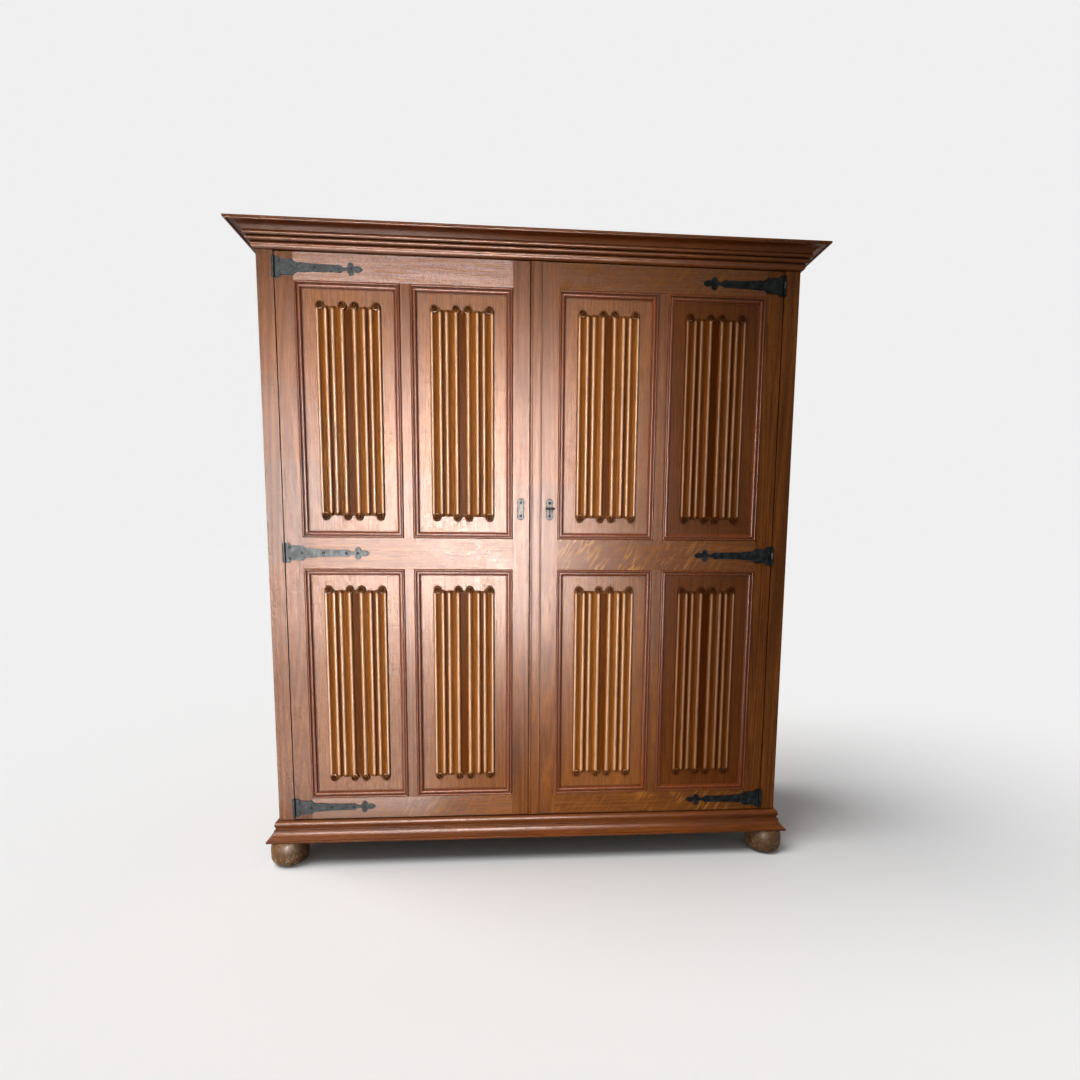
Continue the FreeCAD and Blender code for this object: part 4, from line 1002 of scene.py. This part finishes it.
WOOD_EASE = 0.9 * MM
UPRIGHT_SHIFT = (0.37, 0.21, 0.53)
UPRIGHT_BOARDS = {
    "post_front_left": "carcass",
    "post_front_right": "carcass",
    "post_rear_left": "carcass",
    "post_rear_right": "carcass",
    "hinge_stile_left": "door_left",
    "meeting_stile_left": "door_left",
    "muntins_left": "door_left",
    "hinge_stile_right": "door_right",
    "meeting_stile_right": "door_right",
    "meeting_strip": "door_right",
    "muntins_right": "door_right",
}
LEVEL_SHIFT = (0.29, 0.47, 0.19)
LEVEL_BOARDS = {
    "front_rail_top": ("carcass", {}),
    "front_rail_bottom": ("carcass", {}),
    "top_rail_left": ("door_left", {"shine": 0.36}),
    "middle_rail_left": ("door_left", {"shine": 0.085, "rays": 0.05}),
    "bottom_rail_left": ("door_left", {"shine": 0.22, "rays": 0.25}),
    "top_rail_right": ("door_right", {"shine": 0.1, "rays": 0.15}),
    "middle_rail_right": ("door_right", {"shine": 0.07, "rays": 0.78, "rays_end": 0.56}),
    "bottom_rail_right": ("door_right", {"shine": 0.08, "rays": 0.5}),
    "top_board": ("carcass", {}),
}
SIDE_RAIL_SHIFT = (0.3, 0.7, 0.1)


def ease_board(node, body, grain, shift, **looks):
    material = frame_oak(node, grain, shift, **looks)
    dress(softened(node, WOOD_EASE), material, body, node)


def joinery():
    for number, (node, body) in enumerate(UPRIGHT_BOARDS.items()):
        shift = [step * number for step in UPRIGHT_SHIFT]
        ease_board(node, body, "z", shift, figure=1.0)
    for number, (node, (body, looks)) in enumerate(LEVEL_BOARDS.items()):
        shift = [step * number for step in LEVEL_SHIFT]
        ease_board(node, body, "x", shift, **looks)
    for side, _ in SIDES:
        ease_board(f"side_rails_{side}", "carcass", "y", SIDE_RAIL_SHIFT)


# Ironwork with eased edges

STRAP_EASE = 0.5 * MM
KEY_PLATE_EASE = 0.4 * MM


def ironwork():
    for side, _ in SIDES:
        straps, plate = f"strap_hinges_{side}", f"key_plate_{side}"
        dress(softened(straps, STRAP_EASE), black_iron, f"door_{side}", straps)
        dress(softened(plate, KEY_PLATE_EASE), plate_iron, f"door_{side}", plate)


# CAD pieces whose shape is right already

LEFT_PANEL_SHIFT = (0.2, 0.9, 0.4)
RIGHT_PANEL_SHIFT = (0.8, 0.1, 0.6)
STEEL_NODES = (
    "keeper", "door_bolt_guides", "lock_case", "door_bolt_top", "door_bolt_bottom", "lock_bolt",
)


def plain_nodes():
    finishes = {
        "side_panels_left": frame_oak("side_panel_left", "z", LEFT_PANEL_SHIFT),
        "side_panels_right": frame_oak("side_panel_right", "z", RIGHT_PANEL_SHIFT),
        "back_rails": inside_oak["x"],
        "back_muntin": inside_oak["z"],
        "back_panels": inside_oak["z"],
        "bottom_board": inside_oak["x"],
        "centre_partition": inside_oak["z"],
        "shelves": inside_oak["x"],
        "shelf_bearers": inside_oak["y"],
        "hanging_rail": inside_oak["x"],
        "rail_sockets": inside_oak["z"],
        "hinge_pintles": black_iron,
        "iron_nails_left": black_iron,
        "iron_nails_right": black_iron,
        "key": key_iron,
        **{node: lock_steel for node in STEEL_NODES},
    }
    for node, material in finishes.items():
        for slot in frame["nodes"][node].material_slots:
            slot.link = "OBJECT"
            slot.material = material


# Camera, as the photograph was fitted

CAMERA_PLACE = Vector((-0.0811, -2.1007, 1.025))
CAMERA_YAW = math.radians(4.03)
CAMERA_PITCH = math.radians(6.24)
CAMERA_ROLL = math.radians(0.5)
PHOTO_SIZE = 1080
FOCAL_PIXELS = 597.7
AXIS_PIXEL = (550.39, 605.27)
SENSOR = 36.0
CLIP_NEAR = 0.05
CLIP_FAR = 200


def camera():
    data = bpy.data.cameras.new("camera")
    data.sensor_width = SENSOR
    data.lens = FOCAL_PIXELS / PHOTO_SIZE * SENSOR
    data.shift_x = 0.5 - AXIS_PIXEL[0] / PHOTO_SIZE
    data.shift_y = AXIS_PIXEL[1] / PHOTO_SIZE - 0.5
    data.clip_start = CLIP_NEAR
    data.clip_end = CLIP_FAR
    eye = bpy.data.objects.new("camera", data)
    bpy.context.scene.collection.objects.link(eye)
    level_reach = math.cos(CAMERA_PITCH)
    ahead = Vector((math.sin(CAMERA_YAW) * level_reach, math.cos(CAMERA_YAW) * level_reach,
                    -math.sin(CAMERA_PITCH)))
    level = Vector((math.cos(CAMERA_YAW), -math.sin(CAMERA_YAW), 0))
    rise = level.cross(ahead)
    right = level * math.cos(CAMERA_ROLL) + rise * math.sin(CAMERA_ROLL)
    up = rise * math.cos(CAMERA_ROLL) - level * math.sin(CAMERA_ROLL)
    turn = Matrix((right, up, -ahead)).transposed().to_4x4()
    eye.matrix_world = Matrix.Translation(CAMERA_PLACE) @ turn
    bpy.context.scene.camera = eye


# World and floor: what the camera sees is pale, and what lights the wood is plain

BACKDROP = 0.868
AMBIENT = 0.25
FLOOR_ALBEDO = 0.92
FLOOR_BOUNCE = 0.14
FLOOR_SIZE = 120


def world_light():
    world = bpy.context.scene.world or bpy.data.worlds.new("studio")
    bpy.context.scene.world = world
    sky = Recipe(world)
    sky.shade("Background", {"Color": sky.blend(sky.looked_at(), grey(AMBIENT), grey(BACKDROP))})


def pale_floor():
    deselect()
    bpy.ops.mesh.primitive_plane_add(size=FLOOR_SIZE, location=(0, 0, 0))
    floor = bpy.context.active_object
    floor.name = "floor"
    pale = Recipe(bpy.data.materials.new("pale_floor"))
    floor.data.materials.append(pale.shade("Principled BSDF", {
        "Base Color": pale.blend(pale.looked_at(), grey(FLOOR_BOUNCE), grey(FLOOR_ALBEDO)),
        "Roughness": 1.0,
        "Specular IOR Level": 0.0,
    }))


# Lamps. Two light the object from the left and from behind, two are seen only in its wax, and a
# soft sun stands overhead. Pieces are kept out of a lamp's light by how their names start.

AREA_LAMPS = {
    "window": {
        "energy": 9.4, "place": (-2.15, -3.0, 0.89), "target": (-0.32, -0.25, 0.77),
        "size": 1.4, "size_y": 2.2, "spread": math.radians(15),
    },
    "behind": {
        "energy": 58, "place": (1.7, 2.9, 1.5), "target": (0.1, 0.25, 0.95),
        "size": 2.2, "size_y": 1.8,
    },
    "sheen": {
        "energy": 248, "place": (-0.82, -3.6, 1.22), "target": (-0.82, -0.25, 1.22),
        "size": 2.42, "size_y": 2.14, "spread": math.radians(62),
    },
    "floor_sheen": {
        "energy": 130, "place": (-1.0, -1.6, 0.02), "target": (-1.0, -1.6, 2.0),
        "size": 1.3, "size_y": 2.1,
    },
}
SEEN_ONLY_IN_WAX = ("sheen", "floor_sheen")
SUN_POWER = 2.55
SUN_PLACE = (-1.5, -0.24, 2.58)
SUN_ANGLE = math.radians(45)
SIDE_NODES = (
    "cornice_left", "cornice_right", "plinth_left", "plinth_right", "side_rails", "side_panels",
    "post_rear", "top_board",
)
FAR_RIGHT_NODES = (
    "post_front_right", "hinge_stile_right", "strap_hinges_right", "iron_nails_right",
)


def lamp(name, kind, energy, place, target, **settings):
    data = bpy.data.lights.new(name, kind)
    data.energy = energy
    for setting, value in settings.items():
        setattr(data, setting, value)
    thing = bpy.data.objects.new(name, data)
    bpy.context.scene.collection.objects.link(thing)
    thing.location = place
    thing.rotation_mode = "QUATERNION"
    thing.rotation_quaternion = (Vector(target) - Vector(place)).to_track_quat("-Z", "Y")
    return thing


def lit_pieces(label, left_out):
    """The pieces that a lamp shines on, as a collection."""
    lit = bpy.data.collections.new(label)
    for piece in bpy.context.scene.objects:
        if piece.type == "MESH" and not piece.name.startswith(left_out):
            lit.objects.link(piece)
    return lit


def lamps():
    object_only = lit_pieces("object_only", ("floor",))
    waxed = lit_pieces("waxed_front", ("floor",) + SIDE_NODES + FAR_RIGHT_NODES + STEEL_NODES)
    for name, settings in AREA_LAMPS.items():
        area = lamp(name, "AREA", shape="RECTANGLE", **settings)
        area.visible_camera = False
        if name in SEEN_ONLY_IN_WAX:
            area.visible_diffuse = False
            area.light_linking.receiver_collection = waxed
        else:
            area.visible_glossy = False
            area.light_linking.receiver_collection = object_only
    lamp("ceiling", "SUN", SUN_POWER, SUN_PLACE, (0, 0, 0), angle=SUN_ANGLE)


linen_panels()
panel_mouldings()
surround("cornice", CORNICE_SHARES, cornice_oak)
surround("plinth", PLINTH_SHARES, plinth_oak)
feet()
joinery()
ironwork()
plain_nodes()
camera()
world_light()
pale_floor()
lamps()
bpy.context.scene.view_settings.view_transform = "Standard"
deselect()
